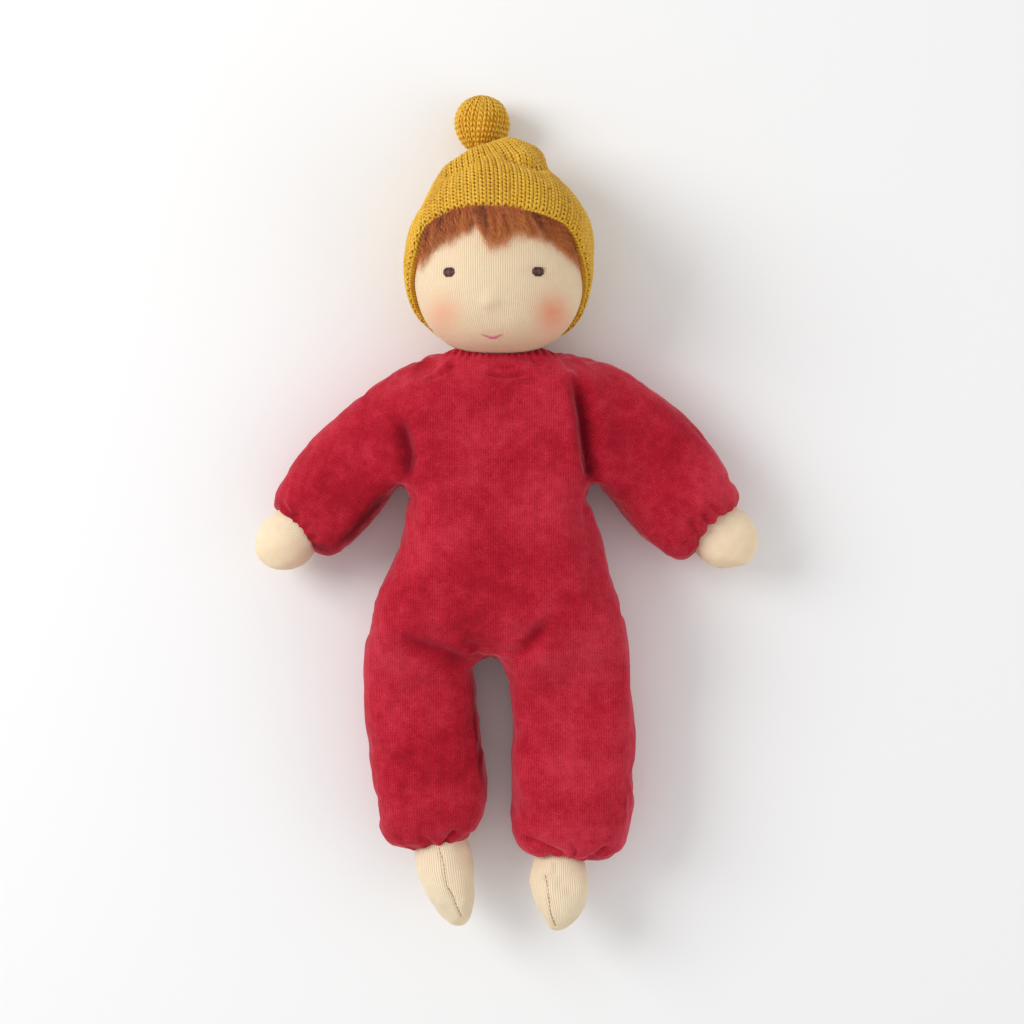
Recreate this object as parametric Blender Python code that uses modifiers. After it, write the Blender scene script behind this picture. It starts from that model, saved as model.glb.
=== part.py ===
"""Waldorf doll: a soft cloth doll in a velour suit and a rib knit cap, lying on its back.

Metres. +Z points out of the belly, +Y towards the head, +X towards the doll's left arm. The floor
is z = 0 and the origin is the middle of the flat that the back rests on.

Every stuffed form is a loft of soft oval rings. A skin is that form with a smaller one taken out,
and the stuffing is the form again, smaller by the skin and a clearance.
"""
from math import atan2, cos, pi, radians, sin, sqrt

import bmesh
import bpy
from mathutils import Vector

# Clearances, skins and cuts shared by every piece
GAP = 0.0003
SEAM_GAP = 0.0003
VELOUR_THICKNESS = 0.0014
JERSEY_THICKNESS = 0.0010
FLOOR_CUT = 0.0005
OVERRUN = 0.01
REACH = 0.4
POLE_FADE = 0.008
MERGE_DISTANCE = 0.00001
THREAD_RADIUS = 0.0007
THREAD_SEGMENTS = 16
THREAD_SIDES = 5
OVAL_POWER = 2.4

# Trunk of the suit
TORSO_BOTTOM = -0.0650
TORSO_TOP = 0.0690
COLLAR_RIM = 0.0644
HIP_HALF_WIDTH = 0.0590
BELLY_HALF_DEPTH = 0.0280
TORSO_SIDES = 18
# along the trunk, its half width, its half depth and how square its section is
TORSO_SHARES = (
    (0.000, 0.70, 0.70, 3.0),
    (0.040, 0.92, 0.86, 3.2),
    (0.120, 0.955, 0.95, 3.6),
    (0.240, 0.865, 0.98, 3.6),
    (0.400, 0.745, 0.98, 3.6),
    (0.550, 0.690, 0.97, 3.6),
    (0.700, 0.700, 0.95, 3.6),
    (0.850, 0.680, 0.92, 3.6),
    (0.930, 0.520, 0.85, 3.6),
    (1.000, 0.400, 0.58, 3.6),
)

# Shoulders and arms
SHOULDER_X = 0.0352
SHOULDER_Y = 0.0500
SHOULDER_RADIUS = 0.0190
SHOULDER_RISE = 0.0076
ARM_HALF_DEPTH = 0.0198
ARM_SIDES = 12
RIGHT_ARM_LENGTH = 0.0782
RIGHT_ARM_HALF_WIDTH = 0.0213
RIGHT_ARM_DROP = radians(46.6)
LEFT_ARM_LENGTH = 0.0835
LEFT_ARM_HALF_WIDTH = 0.0242
LEFT_ARM_DROP = radians(43.2)
SHOULDER_DOME_RINGS = 4
SOCKET_SEGMENTS = 16
SOCKET_RINGS = 10
# along the sleeve, how far it has swelled from the shoulder to its full size, then what is left
# of the shoulder's rise
SLEEVE_SWELL_SHARES = (
    (0.00, 0.00, 1.00),
    (0.17, 0.55, 0.50),
    (0.36, 1.00, 0.12),
    (0.62, 1.00, 0.00),
    (0.85, 0.95, 0.00),
)
# along the gathered cuff, then its width and depth as shares of the full sleeve
CUFF_SHARES = ((0.93, 0.935, 0.93), (0.98, 0.87, 0.86), (1.0, 0.81, 0.80))

# Hands
WRIST_RADIUS = 0.0122
WRIST_INSET = 0.0080
WRIST_BEND_LIMIT = radians(12)
RIGHT_HAND_LENGTH = 0.0320
RIGHT_HAND_HALF_WIDTH = 0.0128
LEFT_HAND_LENGTH = 0.0310
LEFT_HAND_HALF_WIDTH = 0.0143
HAND_HALF_DEPTH = 0.0118
MITT_SIDES = 10
WRIST_DOME_RINGS = 3
STEM_SHARE = 0.5
MOUTH_CONE_SIDES = 12
# along the mitt, then its swell from the wrist to its full size
MITT_SHARES = ((0.0, 0.0), (0.30, 0.0), (0.50, 1.0))
MITT_TIP_SHARES = ((0.68, 0.95), (0.84, 0.74), (0.95, 0.42))

# Hips and legs
HIP_Y = -0.0660
HIP_RADIUS = 0.0210
LEG_BEND_LIMIT = radians(70)
HIP_SWEEP_REACH = 0.06
HIP_SWEEP_STEPS = 14
LEG_SIDES = 12
HIP_DOME_RINGS = 5
HIP_CORNER_POWER = 4.0
HEM_SHARE = 0.5
RIGHT_LEG_X = -0.0342
RIGHT_LEG_LENGTH = 0.0845
RIGHT_LEG_HALF_WIDTH = 0.0257
LEFT_LEG_X = 0.0334
LEFT_LEG_LENGTH = 0.0895
LEFT_LEG_HALF_WIDTH = 0.0276
ANKLE_SHIFT = 0.0066
# along the trouser leg, its half width, its half depth and its share of the shift to the ankle
LEG_SHARES = (
    (0.00, 1.00, 1.00, 0.0),
    (0.22, 0.95, 1.00, 0.0),
    (0.50, 0.99, 1.00, 0.1),
    (0.74, 1.00, 0.98, 0.3),
    (0.87, 0.93, 0.92, 0.4),
    (0.95, 0.76, 0.80, 0.8),
    (1.00, 0.625, 0.74, 1.0),
)

# Feet
ANKLE_RADIUS = 0.0116
ANKLE_INSET = 0.0070
ANKLE_BEND_LIMIT = radians(12)
FOOT_LENGTH = 0.0400
RIGHT_FOOT_HALF_WIDTH = 0.0127
LEFT_FOOT_HALF_WIDTH = 0.0132
FOOT_HALF_DEPTH = 0.0125
FOOT_TOE_RISE = 0.0080
RIGHT_FOOT_TURN = 0.0075
LEFT_FOOT_TURN = -0.0010
FOOT_SHARES = ((0.0, 0.0), (0.22, 0.0), (0.36, 1.0))
FOOT_TOE_SHARES = ((0.58, 0.93), (0.78, 0.76), (0.92, 0.50))

# Neck and head
NECK_RADIUS = 0.0140
NECK_TUBE_RADIUS = 0.0110
NECK_TIE_RADIUS = 0.0080
NECK_TIE_Y = 0.0450
NECK_END_Y = 0.0400
NECK_END_RADIUS = 0.0100
NECK_HEIGHT = 0.0300
NECK_STEPS = 18
NECK_PROFILE_STEPS = 6
HEAD_BOTTOM = 0.0686
HEAD_TOP = 0.1470
HEAD_HALF_WIDTH = 0.0374
HEAD_HALF_DEPTH = 0.0353
HEAD_POWER = 2.5
HEAD_RINGS = 10
HEAD_SIDES = 20

# Face
EYE_HALF_WIDTH = 0.0025
EYE_HALF_HEIGHT = 0.0018
EYE_RISE = 0.0006
EYE_SEGMENTS = 12
EYE_RINGS = 6
EYE_Y = 0.1021
RIGHT_EYE_X = -0.0212
LEFT_EYE_X = 0.0168
NOSE_X = -0.0039
NOSE_Y = 0.0893
NOSE_RADIUS = 0.0022
BEAD_SEGMENTS = 12
BEAD_RINGS = 8
MOUTH_X = -0.0029
MOUTH_Y = 0.0742
MOUTH_HALF_WIDTH = 0.0044
MOUTH_SAG = 0.0011
MOUTH_RADIUS = 0.0006
MOUTH_POINTS = 7

# Hair under the front of the cap
HAIR_THICKNESS = 0.0020
HAIR_LOW_Z = 0.0500
HAIR_TOP_Y = 0.1390
# across the forehead, then how low the lock reaches, as shares of the fringe depth
FRINGE_BASE_Y = 0.1310
FRINGE_DEPTH = 0.0230
FRINGE_SHARES = (
    (-0.90, 0.70), (-0.84, 0.97), (-0.74, 0.62), (-0.62, 0.52), (-0.45, 0.56), (-0.30, 0.22),
    (-0.22, 0.30), (-0.10, 0.68), (0.02, 0.42), (0.20, 0.30), (0.40, 0.42), (0.55, 0.52),
    (0.72, 0.66), (0.90, 0.94), (0.95, 0.60),
)

# Cap and its pompom
CAP_WALL = 0.0040
CAP_WIDEST_Y = 0.1148
CAP_TOP = 0.1655
CAP_CROWN_DROP = 0.0130
CROWN_BLEND = 0.005
CAP_RIM_SIDE_Y = 0.0965
CAP_RIM_SIDE_Z = 0.0420
CAP_RIM_SLOPE = 0.97
CAP_NAPE_Y = 0.0720
CAP_SIDES = 24
# along the crown from the widest ring to the top, its half width and depth, its share of the drop
CROWN_SHARES = (
    (0.00, 1.000, 1.00, 0.00),
    (0.26, 0.955, 0.93, 0.05),
    (0.42, 0.860, 0.82, 0.16),
    (0.58, 0.710, 0.70, 0.32),
    (0.74, 0.550, 0.56, 0.55),
    (0.88, 0.450, 0.42, 0.80),
    (0.97, 0.300, 0.26, 0.95),
)
POMPOM_RADIUS = 0.0130
POMPOM_X = -0.0085
POMPOM_SHELL = 0.0022
POMPOM_WALL_Y = 0.1570
POMPOM_KNOT_RADIUS = 0.0015
POMPOM_OPENING_RADIUS = 0.0012
POMPOM_SEGMENTS = 14
POMPOM_RINGS = 8
KNOT_SEGMENTS = 10
KNOT_RINGS = 6
OPENING_SIDES = 8

# Colours of the cloths and threads
VELOUR_RED = (0.456, 0.012, 0.034, 1)
JERSEY_CREAM = (0.871, 0.680, 0.456, 1)
WOOL_WHITE = (0.820, 0.760, 0.650, 1)
THREAD_RED = (0.300, 0.010, 0.025, 1)
EYE_BROWN = (0.080, 0.032, 0.026, 1)
MOUTH_PINK = (0.578, 0.102, 0.156, 1)
HAIR_AUBURN = (0.305, 0.078, 0.017, 1)
CAP_MUSTARD = (0.680, 0.376, 0.017, 1)

for leftover in list(bpy.data.objects):
    bpy.data.objects.remove(leftover, do_unlink=True)

doll = bpy.data.collections.new("waldorf_doll")
cutters = bpy.data.collections.new("cutters")
for collection in (doll, cutters):
    bpy.context.scene.collection.children.link(collection)


def cloth(name, colour, roughness=0.9):
    """A plain cloth material."""
    material = bpy.data.materials.new(name)
    material.use_nodes = True
    shader = material.node_tree.nodes["Principled BSDF"]
    shader.inputs["Base Color"].default_value = colour
    shader.inputs["Roughness"].default_value = roughness
    shader.inputs["Metallic"].default_value = 0.0
    return material


class Frame:
    """Where a form stands: its origin, the way it runs, its sideways axis and its front axis."""

    def __init__(self, origin, along, side, front=Vector((0, 0, 1))):
        self.origin = Vector(origin)
        self.along = Vector(along)
        self.side = Vector(side)
        self.front = Vector(front)

    def point(self, along, across=0, up=0):
        return self.origin + self.along * along + self.side * across + self.front * up


class Ring:
    """One oval section of a form."""

    def __init__(self, along, half_width, half_depth, across=0, up=0, power=OVAL_POWER):
        self.along = along
        self.half_width = half_width
        self.half_depth = half_depth
        self.across = across
        self.up = up
        self.power = power

    def points(self, frame, sides):
        for step in range(sides):
            angle = 2 * pi * (step + 0.5) / sides
            yield frame.point(
                self.along,
                self.across + self.half_width * soft(cos(angle), self.power),
                self.up + self.half_depth * soft(sin(angle), self.power),
            )


def soft(value, power):
    """A cosine or sine, drawn out to a rounder square."""
    return (1 if value >= 0 else -1) * abs(value) ** (2 / power)


def grown(size, grow):
    """A half size with the growth added, which fades out towards the pole of a form."""
    return size + grow * min(1, size / POLE_FADE)


def add_object(name, mesh, collection, material=None, parent=None):
    """Place a mesh that is written in world places, under the empty that carries it."""
    piece = bpy.data.objects.new(name, mesh)
    collection.objects.link(piece)
    if material:
        mesh.materials.append(material)
    if parent:
        mesh.transform(parent.matrix_world.inverted())
        piece.parent = parent
    if collection is cutters:
        piece.hide_render = True
        piece.display_type = "WIRE"
    return piece


def smooth(mesh, angle=radians(50)):
    mesh.shade_smooth()
    mesh.set_sharp_from_angle(angle=angle)


def loft(name, frame, rings, sides, start=None, end=None, **placing):
    """Skin over a list of rings. A start or end place closes it with a point, else it is flat."""
    shape = bmesh.new()
    loops = [[shape.verts.new(point) for point in ring.points(frame, sides)] for ring in rings]
    for low, high in zip(loops, loops[1:]):
        for step in range(sides):
            after = (step + 1) % sides
            shape.faces.new((low[step], low[after], high[after]))
            shape.faces.new((low[step], high[after], high[step]))
    for loop, ring, place in ((loops[0], rings[0], start), (loops[-1], rings[-1], end)):
        if place is None:
            shape.faces.new(loop)
            continue
        pole = shape.verts.new(frame.point(place, ring.across, ring.up))
        for step in range(sides):
            shape.faces.new((loop[step], loop[(step + 1) % sides], pole))
    bmesh.ops.recalc_face_normals(shape, faces=shape.faces)
    mesh = bpy.data.meshes.new(name)
    shape.to_mesh(mesh)
    shape.free()
    smooth(mesh)
    return add_object(name, mesh, **placing)


def hollow(name, centre, radius, segments=14, rings=8, scale=(1, 1, 1)):
    """A round cutter whose flat facets all stand outside the radius."""
    clear = radius / cos(pi / segments) / cos(pi / rings / 2)
    return ball(name, centre, clear, segments, rings, scale, collection=cutters)


def ball(name, centre, radius, segments=16, rings=10, scale=(1, 1, 1), **placing):
    """A round or oval ball."""
    shape = bmesh.new()
    bmesh.ops.create_uvsphere(shape, u_segments=segments, v_segments=rings, radius=radius)
    bmesh.ops.scale(shape, vec=scale, verts=shape.verts)
    bmesh.ops.translate(shape, vec=centre, verts=shape.verts)
    mesh = bpy.data.meshes.new(name)
    shape.to_mesh(mesh)
    shape.free()
    smooth(mesh)
    return add_object(name, mesh, **placing)


def block(name, low, high, **placing):
    """A box between two corners."""
    low, high = Vector(low), Vector(high)
    shape = bmesh.new()
    bmesh.ops.create_cube(shape, size=1)
    bmesh.ops.scale(shape, vec=high - low, verts=shape.verts)
    bmesh.ops.translate(shape, vec=(low + high) / 2, verts=shape.verts)
    mesh = bpy.data.meshes.new(name)
    shape.to_mesh(mesh)
    shape.free()
    return add_object(name, mesh, **placing)


def prism(name, outline, low, high, place, **placing):
    """An outline in a plane, carried from low to high along the third axis by place(u, v, w)."""
    shape = bmesh.new()
    first = [shape.verts.new(place(u, v, low)) for u, v in outline]
    second = [shape.verts.new(place(u, v, high)) for u, v in outline]
    shape.faces.new(first)
    shape.faces.new(second)
    for step in range(len(outline)):
        after = (step + 1) % len(outline)
        shape.faces.new((first[step], first[after], second[after], second[step]))
    bmesh.ops.recalc_face_normals(shape, faces=shape.faces)
    mesh = bpy.data.meshes.new(name)
    shape.to_mesh(mesh)
    shape.free()
    return add_object(name, mesh, **placing)


def thread_ring(name, frame, along, radius, across=0, up=0, depth_ratio=1, **placing):
    """A thread drawn round a form, as a ring that faces along the frame."""
    bpy.ops.mesh.primitive_torus_add(
        major_radius=radius, minor_radius=THREAD_RADIUS, major_segments=THREAD_SEGMENTS,
        minor_segments=THREAD_SIDES
    )
    made = bpy.context.object
    mesh = made.data
    bpy.data.objects.remove(made)
    mesh.name = name
    for vertex in mesh.vertices:
        ring_x, ring_y, ring_z = vertex.co
        vertex.co = frame.point(along + ring_z, across + ring_x, up + ring_y * depth_ratio)
    shape = bmesh.new()
    shape.from_mesh(mesh)
    bmesh.ops.recalc_face_normals(shape, faces=shape.faces)
    shape.to_mesh(mesh)
    shape.free()
    smooth(mesh)
    return add_object(name, mesh, **placing)


def boolean(piece, cutter, operation="DIFFERENCE"):
    """One cut. The exact solver leaves broken slivers where these nearly meeting forms cross."""
    modifier = piece.modifiers.new(cutter.name, "BOOLEAN")
    modifier.operation = operation
    modifier.solver = "MANIFOLD"
    modifier.object = cutter


def cut(piece, *cutter_list):
    for cutter in cutter_list:
        boolean(piece, cutter)


def empty(name, place, parent=None):
    """The point that a body turns about."""
    point = bpy.data.objects.new(name, None)
    doll.objects.link(point)
    point.location = place
    if parent:
        point.location = Vector(place) - parent.matrix_world.translation
        point.parent = parent
    bpy.context.view_layer.update()
    return point


def halves(name, form, material, parent, mid_height, *cutter_list):
    """Front and back panels of a skin, parted by the side seam at the given height."""
    wide = REACH
    below = block(f"{name}_below_seam", (-wide, -wide, -wide), (wide, wide, mid_height + SEAM_GAP / 2),
                  collection=cutters)
    above = block(f"{name}_above_seam", (-wide, -wide, mid_height - SEAM_GAP / 2), (wide, wide, wide),
                  collection=cutters)
    for side, far_half in (("front", below), ("back", above)):
        panel = form(f"{name}_{side}", 0, collection=doll, material=material, parent=parent)
        inner = form(f"{name}_{side}_inside", -VELOUR_THICKNESS, collection=cutters)
        cut(panel, inner, *cutter_list, floor, far_half)


floor = block("floor", (-REACH, -REACH, -REACH), (REACH, REACH, 0), collection=cutters)
velour = cloth("crimson_velour", VELOUR_RED)
jersey = cloth("cream_jersey", JERSEY_CREAM)
wool = cloth("wool_stuffing", WOOL_WHITE)
red_thread = cloth("red_thread", THREAD_RED, 0.6)
brown_thread = cloth("brown_thread", EYE_BROWN, 0.5)
pink_thread = cloth("pink_thread", MOUTH_PINK, 0.5)
mohair = cloth("auburn_mohair", HAIR_AUBURN, 0.7)
knit = cloth("mustard_knit", CAP_MUSTARD)

TORSO_FRAME = Frame((0, 0, 0), (0, 1, 0), (1, 0, 0))
HEAD_MIDDLE_Y = (HEAD_BOTTOM + HEAD_TOP) / 2
HEAD_MIDDLE_Z = HEAD_HALF_DEPTH + CAP_WALL - FLOOR_CUT
HEAD_FRAME = Frame((0, HEAD_MIDDLE_Y, HEAD_MIDDLE_Z), (0, 1, 0), (1, 0, 0))
NECK_PIVOT = Vector((0, HEAD_BOTTOM, NECK_HEIGHT))
SHOULDER_SCALE = (1, 1, 1 + SHOULDER_RISE / 2 / SHOULDER_RADIUS)


# Torso

def torso_form(name, grow, **placing):
    rings = []
    for along, width, depth, power in TORSO_SHARES:
        half_depth = BELLY_HALF_DEPTH * depth
        middle = half_depth - FLOOR_CUT
        y = TORSO_BOTTOM - grow + (TORSO_TOP - TORSO_BOTTOM + 2 * grow) * along
        rings.append(Ring(y, grown(HIP_HALF_WIDTH * width, grow), grown(half_depth, grow),
                          up=middle, power=power))
    return loft(name, TORSO_FRAME, rings, TORSO_SIDES, **placing)


def hip_sweep(name, centre_x, half_width):
    """What a leg sweeps as it bends: a drum round the hip and the wedge in front of it."""
    radius = HIP_RADIUS + GAP
    height = HIP_RADIUS - FLOOR_CUT
    outline = []
    for step in range(HIP_SWEEP_STEPS + 1):
        angle = -pi / 2 + (pi - LEG_BEND_LIMIT) * step / HIP_SWEEP_STEPS
        outline.append((HIP_Y + radius * cos(angle), height + radius * sin(angle)))
    last_y, last_z = outline[-1]
    outline.append((last_y - HIP_SWEEP_REACH * cos(LEG_BEND_LIMIT),
                    last_z + HIP_SWEEP_REACH * sin(LEG_BEND_LIMIT)))
    outline.append((HIP_Y - HIP_SWEEP_REACH, outline[-1][1]))
    outline.append((HIP_Y - HIP_SWEEP_REACH, height - radius))
    inner = min(abs(centre_x) - half_width, abs(centre_x)) - GAP
    side = 1 if centre_x > 0 else -1
    low, high = sorted((side * inner, side * (abs(centre_x) + half_width + OVERRUN)))
    return prism(name, outline, low, high, lambda u, v, w: (w, u, v), collection=cutters)


def build_torso(root, arms, legs):
    shoulders = [
        hollow(f"{arm.name}_socket", shoulder_middle(arm), SHOULDER_RADIUS + GAP, SOCKET_SEGMENTS,
               SOCKET_RINGS, SHOULDER_SCALE)
        for arm in arms
    ]
    hips = [hip_sweep(f"{leg.name}_sweep", leg.pivot.x, leg.half_width) for leg in legs]
    neck_ball = hollow("neck_socket", NECK_PIVOT, NECK_RADIUS + GAP)
    bore = loft("neck_bore", Frame(NECK_PIVOT, (0, 1, 0), (1, 0, 0)),
                [Ring(NECK_END_Y - GAP - NECK_PIVOT.y, NECK_TUBE_RADIUS + GAP, NECK_TUBE_RADIUS + GAP,
                      power=2),
                 Ring(OVERRUN, NECK_TUBE_RADIUS + GAP, NECK_TUBE_RADIUS + GAP, power=2)],
                NECK_STEPS, collection=cutters)
    above_collar = block("above_collar", (-REACH, COLLAR_RIM, -REACH), (REACH, REACH, REACH),
                         collection=cutters)
    openings = shoulders + hips + [neck_ball, bore, above_collar]
    halves("torso", torso_form, velour, root, BELLY_HALF_DEPTH, *openings)
    stuffing = torso_form("torso_stuffing", -VELOUR_THICKNESS - GAP, collection=doll, material=wool,
                          parent=root)
    cut(stuffing, *openings, floor)


# Limbs

class Limb:
    """An arm or a leg: its pivot, the way it runs, its size and its gathered end."""

    def __init__(self, name, pivot, along, side, length, half_width, half_depth, radius):
        self.name = name
        self.pivot = Vector(pivot)
        self.frame = Frame(pivot, along, side)
        self.length = length
        self.half_width = half_width
        self.half_depth = half_depth
        self.radius = radius


def shoulder_middle(arm):
    """The middle of the shoulder, an oval that stands upright round the arm's axis."""
    return arm.pivot + Vector((0, 0, SHOULDER_RISE / 2))


def sleeve_rings(arm, grow):
    rings = []
    radius = arm.radius + grow
    rise = SHOULDER_RISE / 2
    for step in range(1, SHOULDER_DOME_RINGS):
        angle = pi / 2 * step / SHOULDER_DOME_RINGS
        rings.append(Ring(-radius * cos(angle), radius * sin(angle), (radius + rise) * sin(angle),
                          up=rise, power=2))
    for along, swell, raised in SLEEVE_SWELL_SHARES:
        width = arm.radius + (arm.half_width - arm.radius) * swell
        depth = arm.radius + (arm.half_depth - arm.radius) * swell + rise * raised
        rings.append(Ring(arm.length * along, width + grow, depth + grow, up=depth - arm.radius,
                          power=2 + (OVAL_POWER - 2) * swell))
    for along, width, depth in CUFF_SHARES:
        rings.append(Ring(arm.length * along + grow, arm.half_width * width + grow,
                          arm.half_depth * depth + grow, up=arm.half_depth - arm.radius))
    return rings


def trouser_rings(leg, grow):
    rings = []
    radius = leg.radius + grow
    for step in range(1, HIP_DOME_RINGS):
        angle = pi / 2 * step / HIP_DOME_RINGS
        width = leg.half_width * (1 - cos(angle) ** HIP_CORNER_POWER) ** (1 / HIP_CORNER_POWER)
        rings.append(Ring(-radius * cos(angle), grown(width, grow), radius * sin(angle)))
    inward = -1 if leg.pivot.x > 0 else 1
    for along, width, depth, shift in LEG_SHARES:
        past_hem = grow if along > HEM_SHARE else 0
        rings.append(Ring(leg.length * along + past_hem, leg.half_width * width + grow,
                          leg.half_depth * depth + grow, across=inward * ANKLE_SHIFT * shift))
    return rings


def limb_form(limb, rings_of, sides):
    def form(name, grow, **placing):
        return loft(name, limb.frame, rings_of(limb, grow), sides, start=-limb.radius - grow, **placing)
    return form


def end_socket(name, frame, radius, inset, bend):
    """The hollow that a hand or foot turns in: a ball and a mouth that opens by the bend."""
    wide = radius / cos(bend) / cos(pi / MOUTH_CONE_SIDES)
    mouth = inset + OVERRUN
    open_wide = wide + mouth * sin(bend) / cos(bend)
    cone = loft(f"{name}_mouth", frame,
                [Ring(0, wide, wide, power=2), Ring(mouth, open_wide, open_wide, power=2)],
                MOUTH_CONE_SIDES, collection=cutters)
    return [hollow(f"{name}_hollow", frame.origin, radius), cone]


def build_sleeve(arm, body, wrist_frame, trunk_cutter):
    form = limb_form(arm, sleeve_rings, ARM_SIDES)
    socket = end_socket(f"{arm.name}_wrist", wrist_frame, WRIST_RADIUS + GAP, WRIST_INSET, WRIST_BEND_LIMIT)
    middle = arm.half_depth - FLOOR_CUT
    halves(f"sleeve_{arm.name}", form, velour, body, middle, *socket, trunk_cutter)
    stuffing = form(f"arm_stuffing_{arm.name}", -VELOUR_THICKNESS - GAP, collection=doll, material=wool,
                    parent=body)
    cut(stuffing, *socket, trunk_cutter, floor)
    ring_radius = arm.half_width * CUFF_SHARES[-1][1] - THREAD_RADIUS
    ring_depth = (arm.half_depth * CUFF_SHARES[-1][2] - THREAD_RADIUS) / ring_radius
    thread_ring(f"cuff_thread_{arm.name}", arm.frame, arm.length + GAP + THREAD_RADIUS, ring_radius,
                up=arm.half_depth - arm.radius, depth_ratio=ring_depth, collection=doll,
                material=red_thread, parent=body)


def build_trouser(leg, body, ankle_frame, ankle_across):
    form = limb_form(leg, trouser_rings, LEG_SIDES)
    socket = end_socket(f"{leg.name}_ankle", ankle_frame, ANKLE_RADIUS + GAP, ANKLE_INSET, ANKLE_BEND_LIMIT)
    middle = leg.half_depth - FLOOR_CUT
    halves(f"trouser_{leg.name}", form, velour, body, middle, *socket)
    stuffing = form(f"leg_stuffing_{leg.name}", -VELOUR_THICKNESS - GAP, collection=doll, material=wool,
                    parent=body)
    cut(stuffing, *socket, floor)
    ring_radius = leg.half_width * LEG_SHARES[-1][1] - THREAD_RADIUS
    thread_ring(f"ankle_thread_{leg.name}", leg.frame, leg.length + GAP + THREAD_RADIUS, ring_radius,
                across=ankle_across, collection=doll, material=red_thread, parent=body)


def end_rings(length, half_width, half_depth, radius, rise, turn, grow, swell_shares, tip_shares):
    """A mitt or a foot: a ball inside the cuff, a swell past it and a rounded tip."""
    rings = []
    clear = swell_shares[1][0]
    for step in range(1, WRIST_DOME_RINGS):
        angle = pi / 2 * step / WRIST_DOME_RINGS
        size = (radius + grow) * sin(angle)
        rings.append(Ring(-(radius + grow) * cos(angle), size, size, power=2))
    for along, swell in swell_shares:
        width = radius + (half_width - radius) * swell
        depth = radius + (half_depth - radius) * swell
        past = max(0, along - clear) / (1 - clear)
        rings.append(Ring(length * along, width + grow, depth + grow, turn * past, rise * past, power=2))
    for along, size in tip_shares:
        past = (along - clear) / (1 - clear)
        rings.append(Ring((length + grow) * along, grown(half_width * size, grow),
                          grown(half_depth * size, grow), turn * past, rise * past, power=2))
    return rings


def build_end(kind, side, frame, body, sizes, swell_shares, tip_shares):
    """The jersey skin of a hand or foot, open at its stem, and its stuffing."""
    length, _, _, radius, _, _ = sizes

    def form(name, grow, **placing):
        rings = end_rings(*sizes, grow, swell_shares, tip_shares)
        return loft(name, frame, rings, MITT_SIDES, start=-radius - grow, end=length + grow, **placing)

    bore = radius * STEM_SHARE
    stem = loft(f"{kind}_stem_{side}", frame,
                [Ring(-radius - OVERRUN, bore, bore, power=2), Ring(-bore, bore, bore, power=2)],
                MITT_SIDES, collection=cutters)
    skin = form(f"{kind}_skin_{side}", 0, collection=doll, material=jersey, parent=body)
    cut(skin, form(f"{kind}_inside_{side}", -JERSEY_THICKNESS, collection=cutters), stem)
    form(f"{kind}_stuffing_{side}", -JERSEY_THICKNESS - GAP, collection=doll, material=wool, parent=body)


# Head

def head_ring(share, grow):
    """A ring of the head at a share of its half height, from -1 at the chin to 1 at the crown."""
    half_height = (HEAD_TOP - HEAD_BOTTOM) / 2 + grow
    size = (1 - abs(share) ** HEAD_POWER) ** (1 / HEAD_POWER)
    return Ring(half_height * share, (HEAD_HALF_WIDTH + grow) * size, (HEAD_HALF_DEPTH + grow) * size,
                power=2)


def head_form(name, grow, **placing):
    rings = []
    for step in range(1, HEAD_RINGS):
        angle = pi * step / HEAD_RINGS
        rings.append(head_ring(-soft(cos(angle), HEAD_POWER), grow))
    half_height = (HEAD_TOP - HEAD_BOTTOM) / 2 + grow
    return loft(name, HEAD_FRAME, rings, HEAD_SIDES, start=-half_height, end=half_height, **placing)


def face_height(x, y, grow=0):
    """Height of the front of the head over a place of the face."""
    ring = head_ring((y - HEAD_MIDDLE_Y) / ((HEAD_TOP - HEAD_BOTTOM) / 2 + grow), grow)
    return HEAD_MIDDLE_Z + ring.half_depth * sqrt(1 - (x / ring.half_width) ** 2)


def face_slope(x, y):
    """Which way the face looks at a place."""
    step = NOSE_RADIUS
    across = face_height(x + step, y) - face_height(x - step, y)
    along = face_height(x, y + step) - face_height(x, y - step)
    return Vector((-across, -along, 2 * step)).normalized()


def build_eye(name, x, body):
    outward = face_slope(x, EYE_Y)
    place = Vector((x, EYE_Y, face_height(x, EYE_Y)))
    eye = ball(name, (0, 0, 0), 1, EYE_SEGMENTS, EYE_RINGS,
               (EYE_HALF_WIDTH, EYE_HALF_HEIGHT, EYE_RISE + GAP), collection=doll, material=brown_thread)
    turn = Vector((0, 0, 1)).rotation_difference(outward).to_matrix().to_4x4()
    eye.data.transform(turn)
    for vertex in eye.data.vertices:
        vertex.co += place - body.matrix_world.translation
    eye.parent = body
    cut(eye, head_form(f"{name}_seat", GAP, collection=cutters))


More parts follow.
